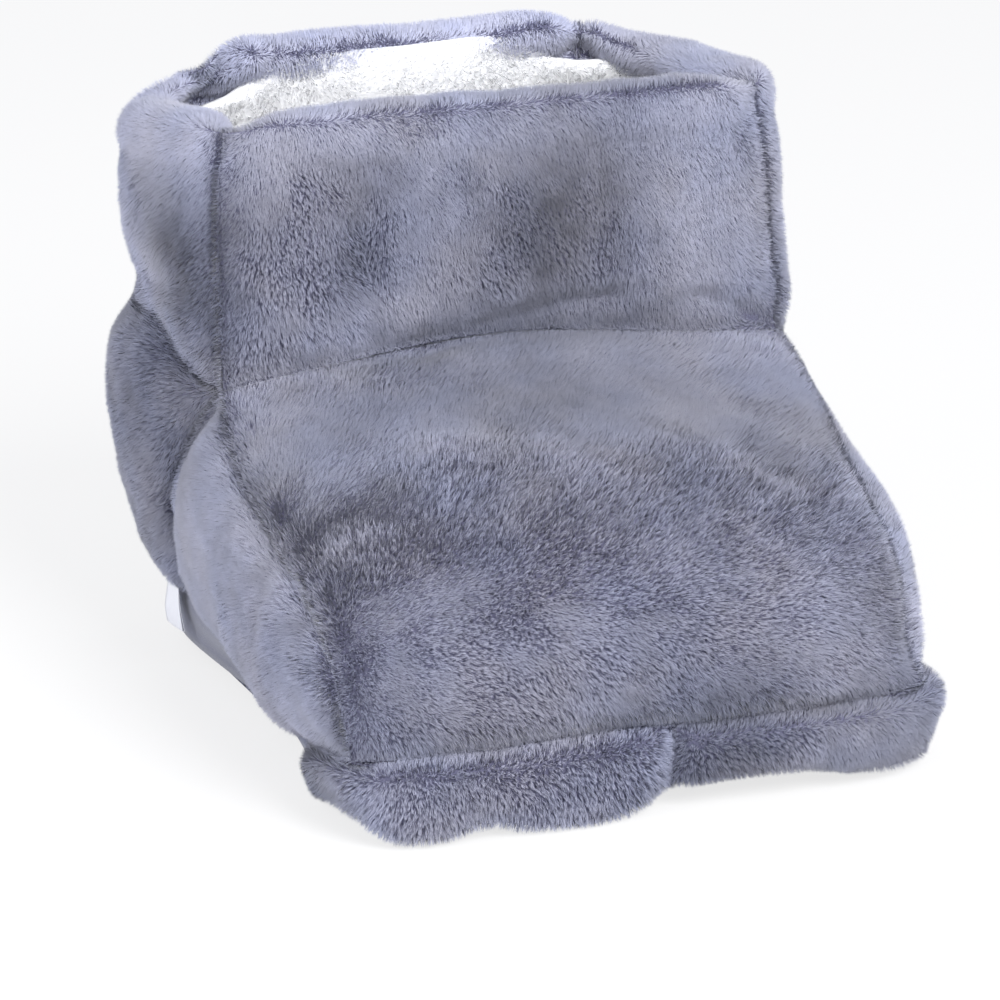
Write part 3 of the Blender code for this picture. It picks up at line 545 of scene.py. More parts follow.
# Twisted polyester thread in the cloth's slate, a little lighter
thread = grained("seam_thread", 0.6, ("#7d8096", "#a0a3b8"), 2600.0, depth=0.1, sheen=0.2,
                 shine=0.4)
# Extruded nylon monofilament: slate, satin, slightly cloudy
nylon = grained("coil_monofilament", 0.38, ("#666a7f", "#7c8096"), 900.0)
# Injection-moulded black PVC with a fine spark-eroded grain
moulded = grained("moulded_pvc", 0.5, ("#121214", "#202023"), 1800.0, 3.0, depth=0.05, shine=0.45)
# Extruded red silicone sheath: soft, faintly dusty
silicone = grained("silicone_sheath", 0.55, ("#a8382e", "#c05246"), 300.0, 4.0, shine=0.4)


def finish(piece, material, body="bootee", stands_for=()):
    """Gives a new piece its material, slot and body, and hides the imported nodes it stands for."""
    if material:
        piece.data.materials.append(material)
    if stands_for:
        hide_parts(*stands_for)
    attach(piece, body)


# Plush and fleece

def open_faces(mesh, tree, clearance):
    return np.array([is_open(face.center, face.normal, tree, clearance)
                     for face in mesh.polygons])


def per_vertex(mesh, open_face):
    """For each vertex, the share of its faces that are open, and the mean normal of those."""
    sizes = np.array([face.loop_total for face in mesh.polygons])
    corners = read(mesh.loops, "vertex_index", 1, np.int32)[:, 0]
    facing = np.repeat(read(mesh.polygons, "normal") * open_face[:, None], sizes, 0)
    free = np.repeat(open_face.astype(float), sizes)
    total = len(mesh.vertices)
    seen, count = np.bincount(corners, free, total), np.bincount(corners, minlength=total)
    out = np.stack([np.bincount(corners, facing[:, k], total) for k in range(3)], 1)
    return seen / count, np.where(seen[:, None] > 0, unit(out),
                                  read(mesh.vertex_normals, "vector"))


def tree_of(places):
    tree = KDTree(len(places))
    for k, place in enumerate(places):
        tree.insert(place, k)
    tree.balance()
    return tree


def soften(mesh, places, show, rounds):
    """Rounds a skin off round after round, with its seams and its hidden faces held."""
    ends = read(mesh.edges, "vertices", 2, np.int32)
    ends = ends[(show[ends] > 0).all(1)]
    here, there = np.concatenate((ends, ends[:, ::-1])).T
    free = show > 0.999
    count = np.maximum(np.bincount(here, minlength=len(places)), 1)[:, None]
    for _ in range(rounds):
        mean = np.stack([np.bincount(here, places[there, k], len(places)) for k in range(3)], 1)
        places[free] += 0.5 * (mean / count - places)[free]


def comb(places, normals, way, swirl, seed):
    """The way in which the pile lies: one way, swirled a little, kept in the surface. Where that
    way leaves the surface, the pile stands up, and the vector is short."""
    lie = np.zeros((len(places), 3)) + way
    for axis in range(3):
        lie[:, axis] += swirl * waves(places, 38 * MM, seed + axis)
        lie[:, axis] += 0.6 * swirl * waves(places, 12 * MM, seed + 5 + axis)
    lie -= normals * (lie * normals).sum(1, keepdims=True)
    return lie / np.maximum(np.linalg.norm(lie, axis=1, keepdims=True), 1.0)


def new_piece(name, places, faces):
    mesh = bpy.data.meshes.new(name)
    mesh.vertices.add(len(places))
    mesh.vertices.foreach_set("co", places.ravel())
    mesh.loops.add(faces.size)
    mesh.loops.foreach_set("vertex_index", faces.ravel())
    mesh.polygons.add(len(faces))
    mesh.polygons.foreach_set("loop_start", np.arange(0, faces.size, faces.shape[1]))
    mesh.update(calc_edges=True)
    return new_object(name, mesh)


def grow_pile(name, skin, facts, material, per_cm2, lengths, width, leans, seed):
    """Tapered strands on a skin, in as many pieces as they need. facts give out, lie, open,
    tone and long for each vertex, and bare for each face. Lengths and leans are for smooth and
    for ruffled pile."""
    rng = np.random.default_rng(seed)
    mesh = skin.data
    mesh.calc_loop_triangles()
    places, triangles = points_of(mesh), read(mesh.loop_triangles, "vertices", 3, np.int32)
    of_face = read(mesh.loop_triangles, "polygon_index", 1, np.int32)[:, 0]
    corners = places[triangles]
    areas = np.linalg.norm(np.cross(corners[:, 1] - corners[:, 0],
                                    corners[:, 2] - corners[:, 0]), axis=1) / 2
    weight = areas * ~facts["bare"][of_face]
    count = int(weight.sum() * 1e4 * per_cm2)
    chosen = rng.choice(len(triangles), count, p=weight / weight.sum())
    share = rng.random((count, 2))
    over = share.sum(1) > 1
    share[over] = 1 - share[over]
    share = np.column_stack((1 - share.sum(1), share))

    def at(values):
        values = values[triangles[chosen]]
        return (values * (share[..., None] if values.ndim == 3 else share)).sum(1)

    root, out = at(places), unit(at(facts["out"]))
    lie, ruffled, tone, long = (at(facts[key]) for key in ("lie", "open", "tone", "long"))
    angle = np.radians(leans[0] + (leans[1] - leans[0]) * ruffled)
    angle *= np.linalg.norm(lie, axis=1) * (1 + 0.12 * rng.standard_normal(count))
    way = out * np.cos(angle)[:, None] + unit(lie) * np.sin(angle)[:, None]
    way = unit(way + (STRAY[0] + STRAY[1] * ruffled)[:, None] * rng.standard_normal((count, 3)))
    reach = (lengths[0] + (lengths[1] - lengths[0]) * ruffled) * long
    tip = root + way * (reach * rng.uniform(*LENGTH_SPREAD, count))[:, None]

    tufts = min(count, max(1, int(count / (per_cm2 * (TUFT_SPACING * 100) ** 2))))
    tree = tree_of(root[rng.choice(count, tufts, replace=False)])
    nearest = np.array([tree.find(place)[1] for place in root])
    middle = np.stack([np.bincount(nearest, tip[:, k], tufts) for k in range(3)], 1)
    middle /= np.maximum(np.bincount(nearest, minlength=tufts), 1)[:, None]
    tip += (middle[nearest] - tip) * (CLUMPING * ruffled)[:, None]
    tip[:, 2] = np.maximum(tip[:, 2], FLOOR_GAP)
    root[:, 2] = np.maximum(root[:, 2], FLOOR_GAP)
    way = unit(tip - root)

    side = unit(np.cross(way, out + 0.35 * rng.standard_normal((count, 3))))
    half = side * (width / 2 * rng.uniform(*WIDTH_SPREAD, count))[:, None]
    strands = np.stack((root - half, root + half, tip), 1)
    face = unit(np.cross(strands[:, 1] - strands[:, 0], strands[:, 2] - strands[:, 0]))
    turned = (face * out).sum(1) < 0
    strands[turned] = strands[turned][:, [1, 0, 2]]
    face[turned] *= -1
    soft = unit(out * (1.0 - 0.3 * ruffled)[:, None] + face * (0.1 + 0.3 * ruffled)[:, None])
    chance = rng.random(tufts)[nearest] + rng.random(count) - 1
    chance = 0.5 + chance * (CHANCE[0] + CHANCE[1] * ruffled)

    pieces = math.ceil(count / MOST_STRANDS)
    for number, part in enumerate(np.array_split(np.argsort(root[:, 0]), pieces)):
        piece = new_piece(name + (f"_{number + 1}" if pieces > 1 else ""),
                          strands[part].reshape(-1, 3), np.arange(len(part) * 3).reshape(-1, 3))
        piece.data.shade_smooth()
        piece.data.normals_split_custom_set_from_vertices(np.repeat(soft[part], 3, 0).tolist())
        # Height along each strand, for its painted root shade, then its random chance, and its tone
        # of painted light and shade
        strand = np.empty((len(part), 3, 3))
        strand[:, :, 0] = (0.0, 0.0, 1.0)
        strand[:, :2, 0] = ROOT_LIGHT * (1 - ruffled[part])[:, None]
        strand[:, :, 1] = chance[part][:, None]
        strand[:, :, 2] = tone[part][:, None]
        made = piece.data.attributes.new("strand", "FLOAT_VECTOR", "POINT")
        made.data.foreach_set("vector", strand.ravel())
        lay_out(piece, nearest[part])
        finish(piece, material)


def lay_out(piece, tuft):
    """A map with one small cell for each strand, the strands of a tuft side by side."""
    count = len(tuft)
    across = math.ceil(math.sqrt(count))
    place = np.empty(count)
    place[np.argsort(tuft, kind="stable")] = np.arange(count)
    column, row = place % across, place // across
    corner = np.array([(0.1, 0.1), (0.9, 0.1), (0.5, 0.95)])
    cells = (np.stack((column, row), 1)[:, None, :] + corner) / across
    cells[..., 1] = np.clip(cells[..., 1], 0, 1)
    layer = piece.data.uv_layers.new(name="OFBake")
    layer.data.foreach_set("uv", cells.ravel())


# Each plush panel: the way its pile lies, how light it is painted as it looks lit (painted light
# and shade), how full, and how finely it is divided
PANELS = {
    "collar_front_panel": ((0.1, -0.2, -1), 0.53, 1.2, 3),
    "collar_left_panel": ((-0.2, 0.3, -1), 0.66, 1.5, 3),
    "collar_back_panel": ((0, 0.2, -1), 0.66, 1.5, 3),
    "collar_right_panel": ((0.2, 0.3, -1), 0.54, 1.5, 3),
    "heel_left_panel": ((0, 0.6, -1), 0.50, 1.2, 3),
    "heel_back_panel": ((0, 0.3, -1), 0.50, 1.0, 2),
    "heel_right_panel": ((0, 0.6, -1), 0.50, 1.2, 2),
    "gusset_left_panel": ((0, 0.9, -0.5), 0.61, 2.0, 3),
    "gusset_right_panel": ((0, 0.9, 0.2), 0.62, 2.0, 3),
    "instep_panel": ((0.65, -0.75, -0.35), 0.48, 1.0, 2),
    "base_band_left": ((-0.3, 0, -0.8), 0.59, 1.2, 3),
    "base_band_right": ((0.3, 0, -0.8), 0.46, 1.2, 3),
}


def lie_of(node, places, way):
    """The way in which a panel's pile is brushed. The instep's is brushed aside and back at the
    top, and turns to the panel's own way towards the toe, in uneven patches."""
    way = unit(np.array(way, float))
    if node in rims:
        # Over the rim it is brushed back
        return way + rims[node][:, None] * np.array((0, 0.9, 0))
    if node != "instep_panel":
        return way
    share = (-2 * MM - places[:, 1]) / (130 * MM) + 0.35 * waves(places, 30 * MM, 9)
    share = smooth_step(share)[:, None]
    return unit(np.array((0.85, 0.38, 0.18))) * 0.85 * (1 - share) + way * share


def plush_skin(node):
    """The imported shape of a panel, divided into small quads, and what of it lies open."""
    levels = PANELS[node][3]
    skin = copy_of(node, node.replace("_panel", "") + "_plush")
    tree = obstacles(node)
    keep_seams(skin.data, tree)
    change(skin, "SUBSURF", levels=levels, render_levels=levels)
    outer = open_faces(skin.data, tree, CONTACT)
    return skin, outer, *per_vertex(skin.data, outer)


def round_rims():
    """Rolls the collar's rim over softly, as its filling does, and tells how far each vertex
    belongs to the rim."""
    collar = {node: skin for node, skin in skins.items() if node.startswith("collar")}
    patches = [(face.center[:], face.area) for skin, outer, _, _ in collar.values()
               for face, free in zip(skin.data.polygons, outer) if free and face.center.z > RIM_LOW]
    patches = patches[::max(1, len(patches) // 7000)]
    centres, areas = np.array([p for p, _ in patches]), np.array([a for _, a in patches])
    belongs = {}
    for node, (skin, *_) in collar.items():
        places = points_of(skin.data)
        chosen = np.flatnonzero(places[:, 2] > RIM_LOW)
        belongs[node] = np.zeros(len(places))
        for part in np.array_split(chosen, len(chosen) // 400 + 1):
            apart = ((places[part][:, None] - centres) ** 2)
            beside, away = apart[..., :2].sum(2), apart.sum(2)
            weight = areas * np.exp(-away / (2 * RIM_ROUNDING ** 2))
            mean = weight @ centres / weight.sum(1, keepdims=True)
            top = np.where(beside < (18 * MM) ** 2, centres[:, 2], 0).max(1)
            share = smooth_step((places[part, 2] - top + RIM_HEIGHT) / (8 * MM))
            share *= away.min(1) < (12 * MM) ** 2
            belongs[node][part] = share
            places[part] += (mean - places[part]) * share[:, None]
        set_points(skin.data, places)
    return belongs


def find_seams(skins):
    """The places where two panels meet, and the way out of the plush at each of them."""
    edges, owners, faces, facing = [], [], [], []
    for number, (skin, outer, show, _) in enumerate(skins.values()):
        border = points_of(skin.data)[(show > 0) & (show < 0.999)]
        edges.append(border)
        owners += [number] * len(border)
        faces += [face.center[:] for face, free in zip(skin.data.polygons, outer) if free]
        facing += [face.normal * face.area
                   for face, free in zip(skin.data.polygons, outer) if free]
    edges, owners = np.vstack(edges), np.array(owners)
    near, around = tree_of(edges), tree_of(faces)
    places, ways = [], []
    for place, owner in zip(edges, owners):
        if any(owners[k] != owner for _, k, _ in near.find_range(place, SEAM_REACH)):
            found = around.find_range(place, 3 * SEAM_REACH)
            way = sum((facing[k] * math.exp(-(away / (1.5 * SEAM_REACH)) ** 2)
                       for _, k, away in found), Vector())
            places.append(place)
            ways.append(way.normalized())
    return np.array(places), np.array(ways), tree_of(places)


def seam_facts(places):
    """For each place, its distance from the nearest seam, the seam's place and its way out."""
    found = [seam_tree.find(place) for place in places]
    index = np.array([k for _, k, _ in found])
    away = np.array([far for _, _, far in found])
    return away, seam_places[index], seam_ways[index]


def drawn_in(places):
    """The move by which the thread draws the plush in at a seam, and how far the seam is."""
    away, _, way = seam_facts(places)
    deep = SEAM_DEPTH * np.exp(-(away / SEAM_WIDTH) ** 2)
    return way * -deep[:, None], away


def plush_panel(node, number):
    way, light, full, _ = PANELS[node]
    name = node.replace("_panel", "")
    skin, outer, show, out = skins[node]
    places = points_of(skin.data)
    inner = smooth_step(2 * show - 1)
    spacing = math.sqrt(sum(face.area for face in skin.data.polygons) / len(outer))
    rounds = int(4 * (ROUNDING / spacing) ** 2)
    soften(skin.data, places, show, rounds)
    drawn, away = drawn_in(places)
    crown = CROWN * full * (1 - close_to(away, CROWN_REACH))
    if node in rims:
        crown += RIM_FILL * rims[node] * (1 - close_to(away, RIM_FILL_REACH))
    swell = layered(places, SWELL, number) * MM
    sagged = settled(places)
    shift = (crown + swell - SKIN_INSET - fold_depth(sagged)) * inner
    moved = sagged + drawn + out * shift[:, None]
    soften(skin.data, moved, show, rounds // 12 + 1)
    moved[:, 2] = np.maximum(moved[:, 2], FLOOR_GAP)
    set_points(skin.data, moved)
    finish(skin, backing, stands_for=(node,))

    ruffle = layered(moved, RUFFLE, number, RUFFLE_LEVEL)
    shade = layered(moved, SHADE, number)
    for place, size, opened, dark in PATCHES:
        near = np.exp(-(((moved / MM - place) / size) ** 2).sum(1))
        ruffle += opened * near
        shade += dark * near
    ruffle = smooth_step(ruffle)
    edge = close_to(away, 6 * MM)[:, None]
    out = per_vertex(skin.data, outer)[1]
    lie = comb(moved, out, lie_of(node, moved, way), 0.65, number + 60)
    _, seam, seam_out = seam_facts(places)
    over = unit(seam - places)
    over -= out * (over * out).sum(1, keepdims=True)
    # The pile grows a little way down into each seam too, and points out of it
    inside = np.array([max(away[k] for k in face.vertices) < SEAM_PILE
                       and face.center.z > 4 * MM for face in skin.data.polygons])
    deep = smooth_step(1 - show)[:, None] * (away < 5 * MM)[:, None]
    out = unit(out * (1 - deep) + seam_out * deep)
    facts = {
        "bare": ~(outer | inside),
        "out": out,
        "lie": lie * (1 - edge) + over * 0.5 * edge,
        "open": ruffle * (1 - 0.4 * edge[:, 0]),
        # tone is painted light and shade: each panel's lit lightness, less the painted shade of
        # waves and patches, lighter where ruffled pile looks dark
        "tone": np.clip(light - shade - 0.15 + 0.2 * ruffle, 0, 1),
        "long": (1 - 0.1 * edge[:, 0]) * (1 - 0.35 * deep[:, 0]),
    }
    dense = LESS_DENSE.get(node, 1.0)
    grow_pile(name + "_pile", skin, facts, plush, PILE_PER_CM2 * dense,
              (PILE_SMOOTH, PILE_RUFFLED), PILE_WIDTH / dense, LEANS, SEED + number)


def fleece_skin(skin, node, number):
    """Gives a lining its settled, softly lumpy shape, and its curled pile where it shows."""
    tree = obstacles(node)
    outer = open_faces(skin.data, tree, 4 * MM)
    show, out = per_vertex(skin.data, outer)
    places = points_of(skin.data)
    swell = 0.7 * MM * waves(places, 12 * MM, number)
    # Well inside at the seams, so that none of them lets the white through
    collar = node.startswith("collar")
    within = OPENING - places * (1, 1, 0) if collar else FOOT_SPACE - places
    drawn, away = drawn_in(places)
    drawn = np.linalg.norm(drawn, axis=1) * (COLLAR_DRAW if collar else INSIDE_DRAW)
    drawn = unit(within) * drawn[:, None]
    sagged = settled(places)
    moved = sagged + out * ((swell - 1.2 * MM) * show)[:, None] + drawn
    moved -= seam_facts(places)[2] * fold_depth(sagged)[:, None]
    if collar:
        # The free edge laps over the plush that is turned in above it, less so at the corners
        top = moved[:, 2].max()
        rise = smooth_step((moved[:, 2] - top + 20 * MM) / (20 * MM))
        middle = 1 - close_to(away, 18 * MM)
        rise *= middle
        inward = OPENING[:2] - moved[:, :2]
        lap = USUAL_LAP + (LINING_LAP.get(node, USUAL_LAP) - USUAL_LAP) * middle
        lap *= smooth_step((moved[:, 2] - top + 70 * MM) / (70 * MM))
        moved[:, :2] += unit(inward) * lap[:, None] * MM
        moved[:, 2] += rise * LINING_RISE.get(node, USUAL_RISE) * MM
    set_points(skin.data, moved)
    finish(skin, fleece, stands_for=(node,))
    if not outer.any():
        return
    count = len(moved)
    out = per_vertex(skin.data, outer)[1]
    facts = {
        "bare": ~outer,
        "out": out,
        "lie": comb(moved, out, (0, 0, 0.2), 1.2, number + 60),
        "open": np.full(count, 0.35),
        "tone": np.full(count, 0.5),
        "long": np.ones(count),
    }
    grow_pile(node + "_curl", skin, facts, fleece, FLEECE_PER_CM2[node.split("_")[0]],
              (FLEECE_LENGTH,) * 2, FLEECE_WIDTH, (FLEECE_LEAN,) * 2, SEED + 100 + number)


def fleece_panel(node, number):
    skin = copy_of(node, node + "_fleece")
    keep_seams(skin.data, obstacles(node))
    change(skin, "SUBSURF", levels=2, render_levels=2)
    fleece_skin(skin, node, number)


skins = {node: plush_skin(node) for node in PANELS}
rims = round_rims()
seam_places, seam_ways, seam_tree = find_seams(skins)
for number, node in enumerate(PANELS):
    plush_panel(node, number)
for number, node in enumerate(sorted(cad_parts)):
    if node.endswith("_lining"):
        fleece_panel(node, number)


# Base

def cut_grid(piece, steps):
    """Cuts a flat piece along lines at these distances from its four sides, in mm."""
    cage = bmesh.new()
    cage.from_mesh(piece.data)
    low, high = (Vector(f(v.co[k] for v in cage.verts) for k in range(3)) for f in (min, max))
    for axis in (0, 1):
        way = Vector([float(axis == k) for k in range(3)])
        for step in steps:
            for at in (low[axis] + step * MM, high[axis] - step * MM):
                bmesh.ops.bisect_plane(cage, geom=cage.verts[:] + cage.edges[:] + cage.faces[:],
                                       plane_co=way * at, plane_no=way)
    cage.to_mesh(piece.data)
    cage.free()


def plain_faces(piece):
    """Joins the loose triangles of flat faces into one face each."""
    edit_all(piece)
    bpy.ops.mesh.dissolve_limited(angle_limit=math.radians(2))
    bpy.ops.object.mode_set(mode="OBJECT")


def smooth_by_angle(piece, degrees):
    only(piece)
    bpy.ops.object.shade_smooth_by_angle(angle=math.radians(degrees))


def settle(piece, toe_lift=0.0, inset=0.0):
    """Moves a piece as the filling around it has moved, its toe edge drawn up by toe_lift and
    its sides drawn in by inset."""
    places = points_of(piece.data)
    places[:, :2] *= 1 - inset / (115 * MM)
    moved = settled(places)
    toe = smooth_step((-95 * MM - places[:, 1]) / (40 * MM))
    moved[:, 1] += toe_lift * toe
    moved[:, 2] = np.maximum(moved[:, 2] + toe_lift * toe * (places[:, 0] > 0), 0)
    set_points(piece.data, moved)


def base_wall(node, levels):
    """A soft cloth wall of the base, its free edges rounded and its shape settled."""
    piece = copy_of(node, node + "_cloth")
    keep_seams(piece.data, obstacles(node))
    change(piece, "SUBSURF", levels=levels, render_levels=levels)
    drawn = drawn_in(points_of(piece.data))[0]
    settle(piece)
    set_points(piece.data, points_of(piece.data) + drawn)
    finish(piece, cloth, stands_for=(node,))
    return piece


def base_layer(node, name, rounding):
    """A flat layer of the base, with rounded edges, cut finely enough there to turn up."""
    piece = copy_of(node, name)
    plain_faces(piece)
    cut_grid(piece, (5, 10, 16, 24, 34, 46, 60, 76, 94))
    round_edges(piece, rounding, 4)
    return piece


base_wall("base_side_left", 2)
base_wall("base_side_right", 2)
rear_upper = base_wall("base_rear_upper", 1)
rear_lower = base_wall("base_rear_lower", 1)

sole = base_layer("sole_cloth", "sole_cloth_dotted", 1.2 * MM)
settle(sole, 4 * MM)
smooth_by_angle(sole, 40)
finish(sole, sole_material(), stands_for=("sole_cloth",))

cushion = base_layer("sole_foam", "sole_foam_block", 2.5 * MM)
settle(cushion, 4 * MM, 5 * MM)
smooth_by_angle(cushion, 40)
finish(cushion, foam_material(), stands_for=("sole_foam",))

insole = base_layer("insole_fleece", "insole_fleece_pad", 2.0 * MM)
fleece_skin(insole, "insole_fleece", 60)


# Heater

def bevelled(node, ending, width, material, body="bootee"):
    """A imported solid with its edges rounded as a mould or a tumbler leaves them."""
    piece = copy_of(node, node + ending)
    plain_faces(piece)
    round_edges(piece, width, 3, 30, use_clamp_overlap=True)
    smooth_by_angle(piece, 35)
    finish(piece, material, body, stands_for=(node,))
    return piece


def felt_sheet(node):
    """A cut felt sheet, very slightly uneven."""
    piece = copy_of(node, node + "_felt")
    plain_faces(piece)
    cut_grid(piece, (12, 30, 50, 72))
    places = points_of(piece.data)
    places[:, 2] += 0.12 * MM * waves(places, 30 * MM, 3)
    set_points(piece.data, places)
    round_edges(piece, 0.25 * MM, 2)
    smooth_by_angle(piece, 40)
    finish(piece, felt, stands_for=(node,))


felt_sheet("heater_cloth_lower")
felt_sheet("heater_cloth_upper")
bevelled("thermal_cutout", "_case", 0.35 * MM, moulded)
bevelled("heater_connector", "_shell", 0.6 * MM, moulded)
for node, material in (("heating_wire", silicone), ("heater_lead", moulded),
                       ("lead_gland", moulded)):
    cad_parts[node].data.materials.clear()
    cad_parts[node].data.materials.append(material)


# Zip

def tube_along(points, radius, sides):
    """Corners and faces of a closed tube round a line of points."""
    points = np.array(points)
    ahead = unit(np.gradient(points, axis=0))
    across = np.cross(ahead[0], (0.3, 0.5, 0.8))
    rings = []
    for place, way in zip(points, ahead):
        across = unit(across - way * (across @ way))
        beside = np.cross(way, across)
        turn = np.linspace(0, 2 * math.pi, sides, endpoint=False)[:, None]
        rings.append(place + radius * (np.cos(turn) * across + np.sin(turn) * beside))
    ring, next_ring = np.arange(sides), (np.arange(sides) + 1) % sides
    walls = [np.stack((ring, next_ring, next_ring + sides, ring + sides), 1) + k * sides
             for k in range(len(points) - 1)]
    end = (len(points) - 1) * sides
    return np.vstack(rings), np.vstack(walls), [ring[::-1], ring + end]


def tubes(name, lines, radius, sides):
    """One piece of many closed tubes."""
    cage = bmesh.new()
    for line in lines:
        corners, walls, caps = tube_along(line, radius, sides)
        made = [cage.verts.new(corner) for corner in corners]
        for face in (*walls, *caps):
            cage.faces.new([made[k] for k in face])
    bmesh.ops.recalc_face_normals(cage, faces=cage.faces)
    mesh = bpy.data.meshes.new(name)
    cage.to_mesh(mesh)
    cage.free()
    mesh.shade_smooth()
    return new_object(name, mesh)


def zip_coil(side):
    """One turn of monofilament for each tooth, round the edge of the tape."""
    node = "zip_coil_" + side
    low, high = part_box(node)
    radius = COIL_RADIUS
    middle, half = (low + high) / 2, (high - low) / 2
    turns = int((high.x - low.x - 2 * radius) / TOOTH_PITCH)
    line = []
    for k in range(turns * COIL_POINTS + 1):
        angle = 2 * math.pi * k / COIL_POINTS
        x = low.x + radius + (high.x - low.x - 2 * radius) * k / (turns * COIL_POINTS)
        line.append((x, middle.y + (half.y - radius) * math.cos(angle),
                     middle.z + (half.z - radius) * math.sin(angle)))
    piece = tubes(node + "_teeth", [line], radius, 6)
    finish(piece, nylon, stands_for=(node,))


def zip_tape(side, material):
    """Woven tape with a thicker selvedge along its free edge."""
    node = "zip_tape_" + side
    low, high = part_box(node)
    piece = copy_of(node, node + "_woven")
    plain_faces(piece)
    edit_all(piece)
    bpy.ops.mesh.subdivide(number_cuts=9)
    bpy.ops.object.mode_set(mode="OBJECT")
    places = points_of(piece.data)
    free = low.z if side == "lower" else high.z
    edge = close_to(places[:, 2] - free, 0.8 * MM)
    outer = places[:, 1] > (low.y + high.y) / 2
    places[:, 1] += (0.12 * MM * edge + 0.05 * MM * np.sin(places[:, 0] / (4 * MM))) * outer
    set_points(piece.data, places)
    round_edges(piece, 0.12 * MM, 2)
    smooth_by_angle(piece, 40)
    finish(piece, material, stands_for=(node,))


def stitches(name, start, end, surface):
    """A straight row of stitches laid on a surface, seen from behind the base."""
    tree = BVHTree.FromObject(surface, bpy.context.evaluated_depsgraph_get())
    count = int((end - start).length / STITCH)
    lines = []
    for k in range(count):
        line = []
        for share, height in ((0.12, -0.25), (0.2, 0.12), (0.5, 0.2), (0.8, 0.12), (0.88, -0.25)):
            place = start.lerp(end, (k + share) / count)
            found = tree.ray_cast(Vector((place.x, place.y + 0.02, place.z)), Vector((0, -1, 0)))[0]
            line.append((place.x, (found.y if found else place.y) + height * MM, place.z))
        lines.append(line)
    piece = tubes(name, lines, THREAD_RADIUS, 6)
    finish(piece, thread)


woven = tape_material()
for side in ("upper", "lower"):
    zip_coil(side)
    zip_tape(side, woven)
bevelled("zip_stop_left", "_clip", 0.4 * MM, nickel)
bevelled("zip_stop_right", "_clip", 0.4 * MM, nickel)
bevelled("zip_slider", "_body", 0.22 * MM, nickel, "slider")
bevelled("zip_pull_tab", "_plate", 0.3 * MM, nickel, "pull_tab")
left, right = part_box("base_rear_upper")
for name, wall, z in zip(("upper_hem", "lower_hem"), (rear_upper, rear_lower), HEMS):
    stitches("zip_" + name + "_stitches", Vector((left.x + 2 * MM, 0.139, z * MM)),
             Vector((right.x - 2 * MM, 0.139, z * MM)), wall)


# Label

def label():
    """Bare ribbon folded double, both ends sewn into the seam."""
    low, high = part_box("side_label")
    top, drop, width = high.z, high.z - low.z - LABEL_FOLD * MM, high.y - low.y
    middle = (low.x + high.x) / 2
    fold = []
    last = LABEL_ROWS - 1
    for k in range(LABEL_ROWS):
        fold.append((0.10 + 0.35 * (k / last) ** 1.5, -drop * k / last / MM))
    for k in range(1, 6):
        angle = math.pi * k / 6
        fold.append((LABEL_OPEN * math.cos(angle), -drop / MM - LABEL_FOLD * math.sin(angle)))
    fold += [(-x, z) for x, z in fold[last::-1]]
    across = np.linspace(0, 1, 9)
    places = []
    for x, z in fold:
        # The free end lies in against the base, its rear corner turned out a little
        turn = math.radians(LABEL_TWIST) * smooth_step(np.array(-z / 15))
        for share in across:
            along = share * width
            away = (x + 0.5 * math.sin(math.pi * share) * (z / LABEL_HANG) ** 2) * MM
            inward = 2.0 * MM * (z / LABEL_HANG) ** 2
            places.append((middle + inward - away * math.cos(turn) - along * math.sin(turn),
                           low.y + along * math.cos(turn) - away * math.sin(turn), top + z * MM))
    places = np.array(places)
    rows, columns = len(fold), len(across)
    first = np.arange((rows - 1) * columns).reshape(-1, columns)[:, :-1].ravel()
    faces = np.stack((first, first + 1, first + columns + 1, first + columns), 1)
    piece = new_piece("side_label_ribbon", places, faces)
    change(piece, "SOLIDIFY", thickness=0.16 * MM, offset=0)
    piece.data.shade_smooth()
    finish(piece, satin_material(), "label", stands_for=("side_label",))


label()


# Camera, light and floor

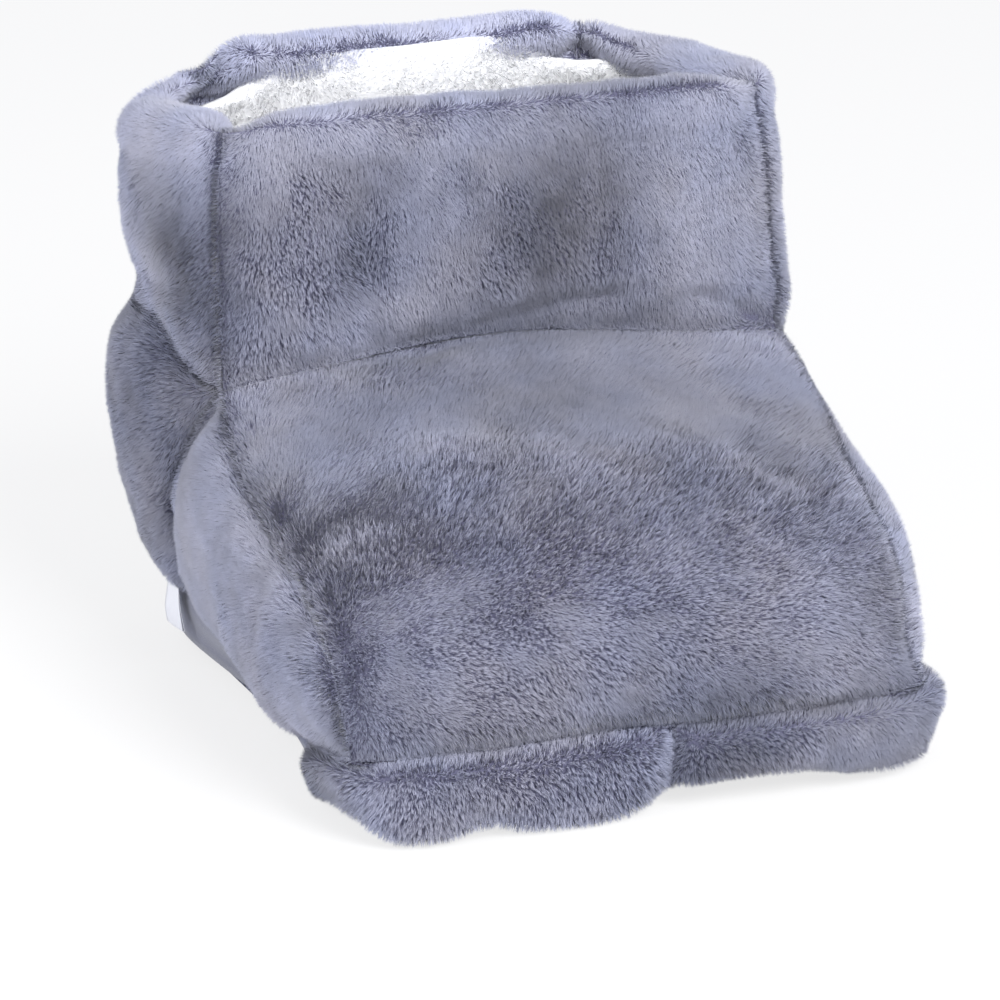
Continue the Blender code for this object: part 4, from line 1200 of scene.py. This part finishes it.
def camera():
    turn, rise = math.radians(CAMERA_TURN), math.radians(CAMERA_RISE)
    away = Vector((math.sin(turn) * math.cos(rise), -math.cos(turn) * math.cos(rise),
                   math.sin(rise)))
    data = bpy.data.cameras.new("camera")
    data.lens, data.sensor_width = LENS, SENSOR
    data.clip_start, data.clip_end = 0.05, 50
    made = new_object("camera", data)
    made.location = TARGET + away * CAMERA_AWAY
    made.rotation_euler = (-away).to_track_quat("-Z", "Y").to_euler()
    bpy.context.scene.camera = made


def lamp(name, place, size, power):
    """A soft round lamp, aimed at the middle of the warmer."""
    data = bpy.data.lights.new(name, "AREA")
    data.shape, data.size, data.energy = "DISK", size, power
    made = new_object(name, data)
    made.location = place
    way = Vector((0, 0, 0.1)) - Vector(place)
    made.rotation_euler = way.to_track_quat("-Z", "Y").to_euler()


def studio():
    """Pale light all round, seen as white by the camera and in gloss, and a white floor."""
    world = bpy.data.worlds.new("studio")
    bpy.context.scene.world = world
    world.use_nodes = True
    plain = world.node_tree.nodes["Background"]
    plain.inputs["Color"].default_value = linear("#f4f6ff")
    plain.inputs["Strength"].default_value = WORLD_LIGHT
    white = add(plain, "Background", {"Color": (1, 1, 1, 1), "Strength": 1.0})
    path = add(plain, "LightPath").node.outputs
    seen = add(plain, "Math", {0: path["Is Camera Ray"], 1: path["Is Glossy Ray"]},
               operation="MAXIMUM")
    both = add(plain, "MixShader", {0: seen, 1: plain.outputs[0], 2: white})
    link(both, world.node_tree.nodes["World Output"], 0)
    for facts in LAMPS:
        lamp(*facts)

    made, shader = new_material("studio_floor", 1.0)
    shader.inputs["Base Color"].default_value = (0.95, 0.95, 0.95, 1)
    glow = add(shader, "Emission", {"Strength": 1.0})
    seen = add(shader, "LightPath", out="Is Camera Ray")
    part = add(shader, "Math", {0: seen, 1: FLOOR_GLOW}, operation="MULTIPLY")
    both = add(shader, "MixShader", {0: part, 1: shader.outputs[0], 2: glow})
    link(both, made.node_tree.nodes["Material Output"], 0)
    bpy.ops.mesh.primitive_plane_add(size=12, location=(0, 0, -0.2 * MM))
    floor = bpy.context.object
    floor.name = "studio_floor"
    floor.data.materials.append(made)
    bpy.context.scene.view_settings.view_transform = "Standard"


camera()
studio()
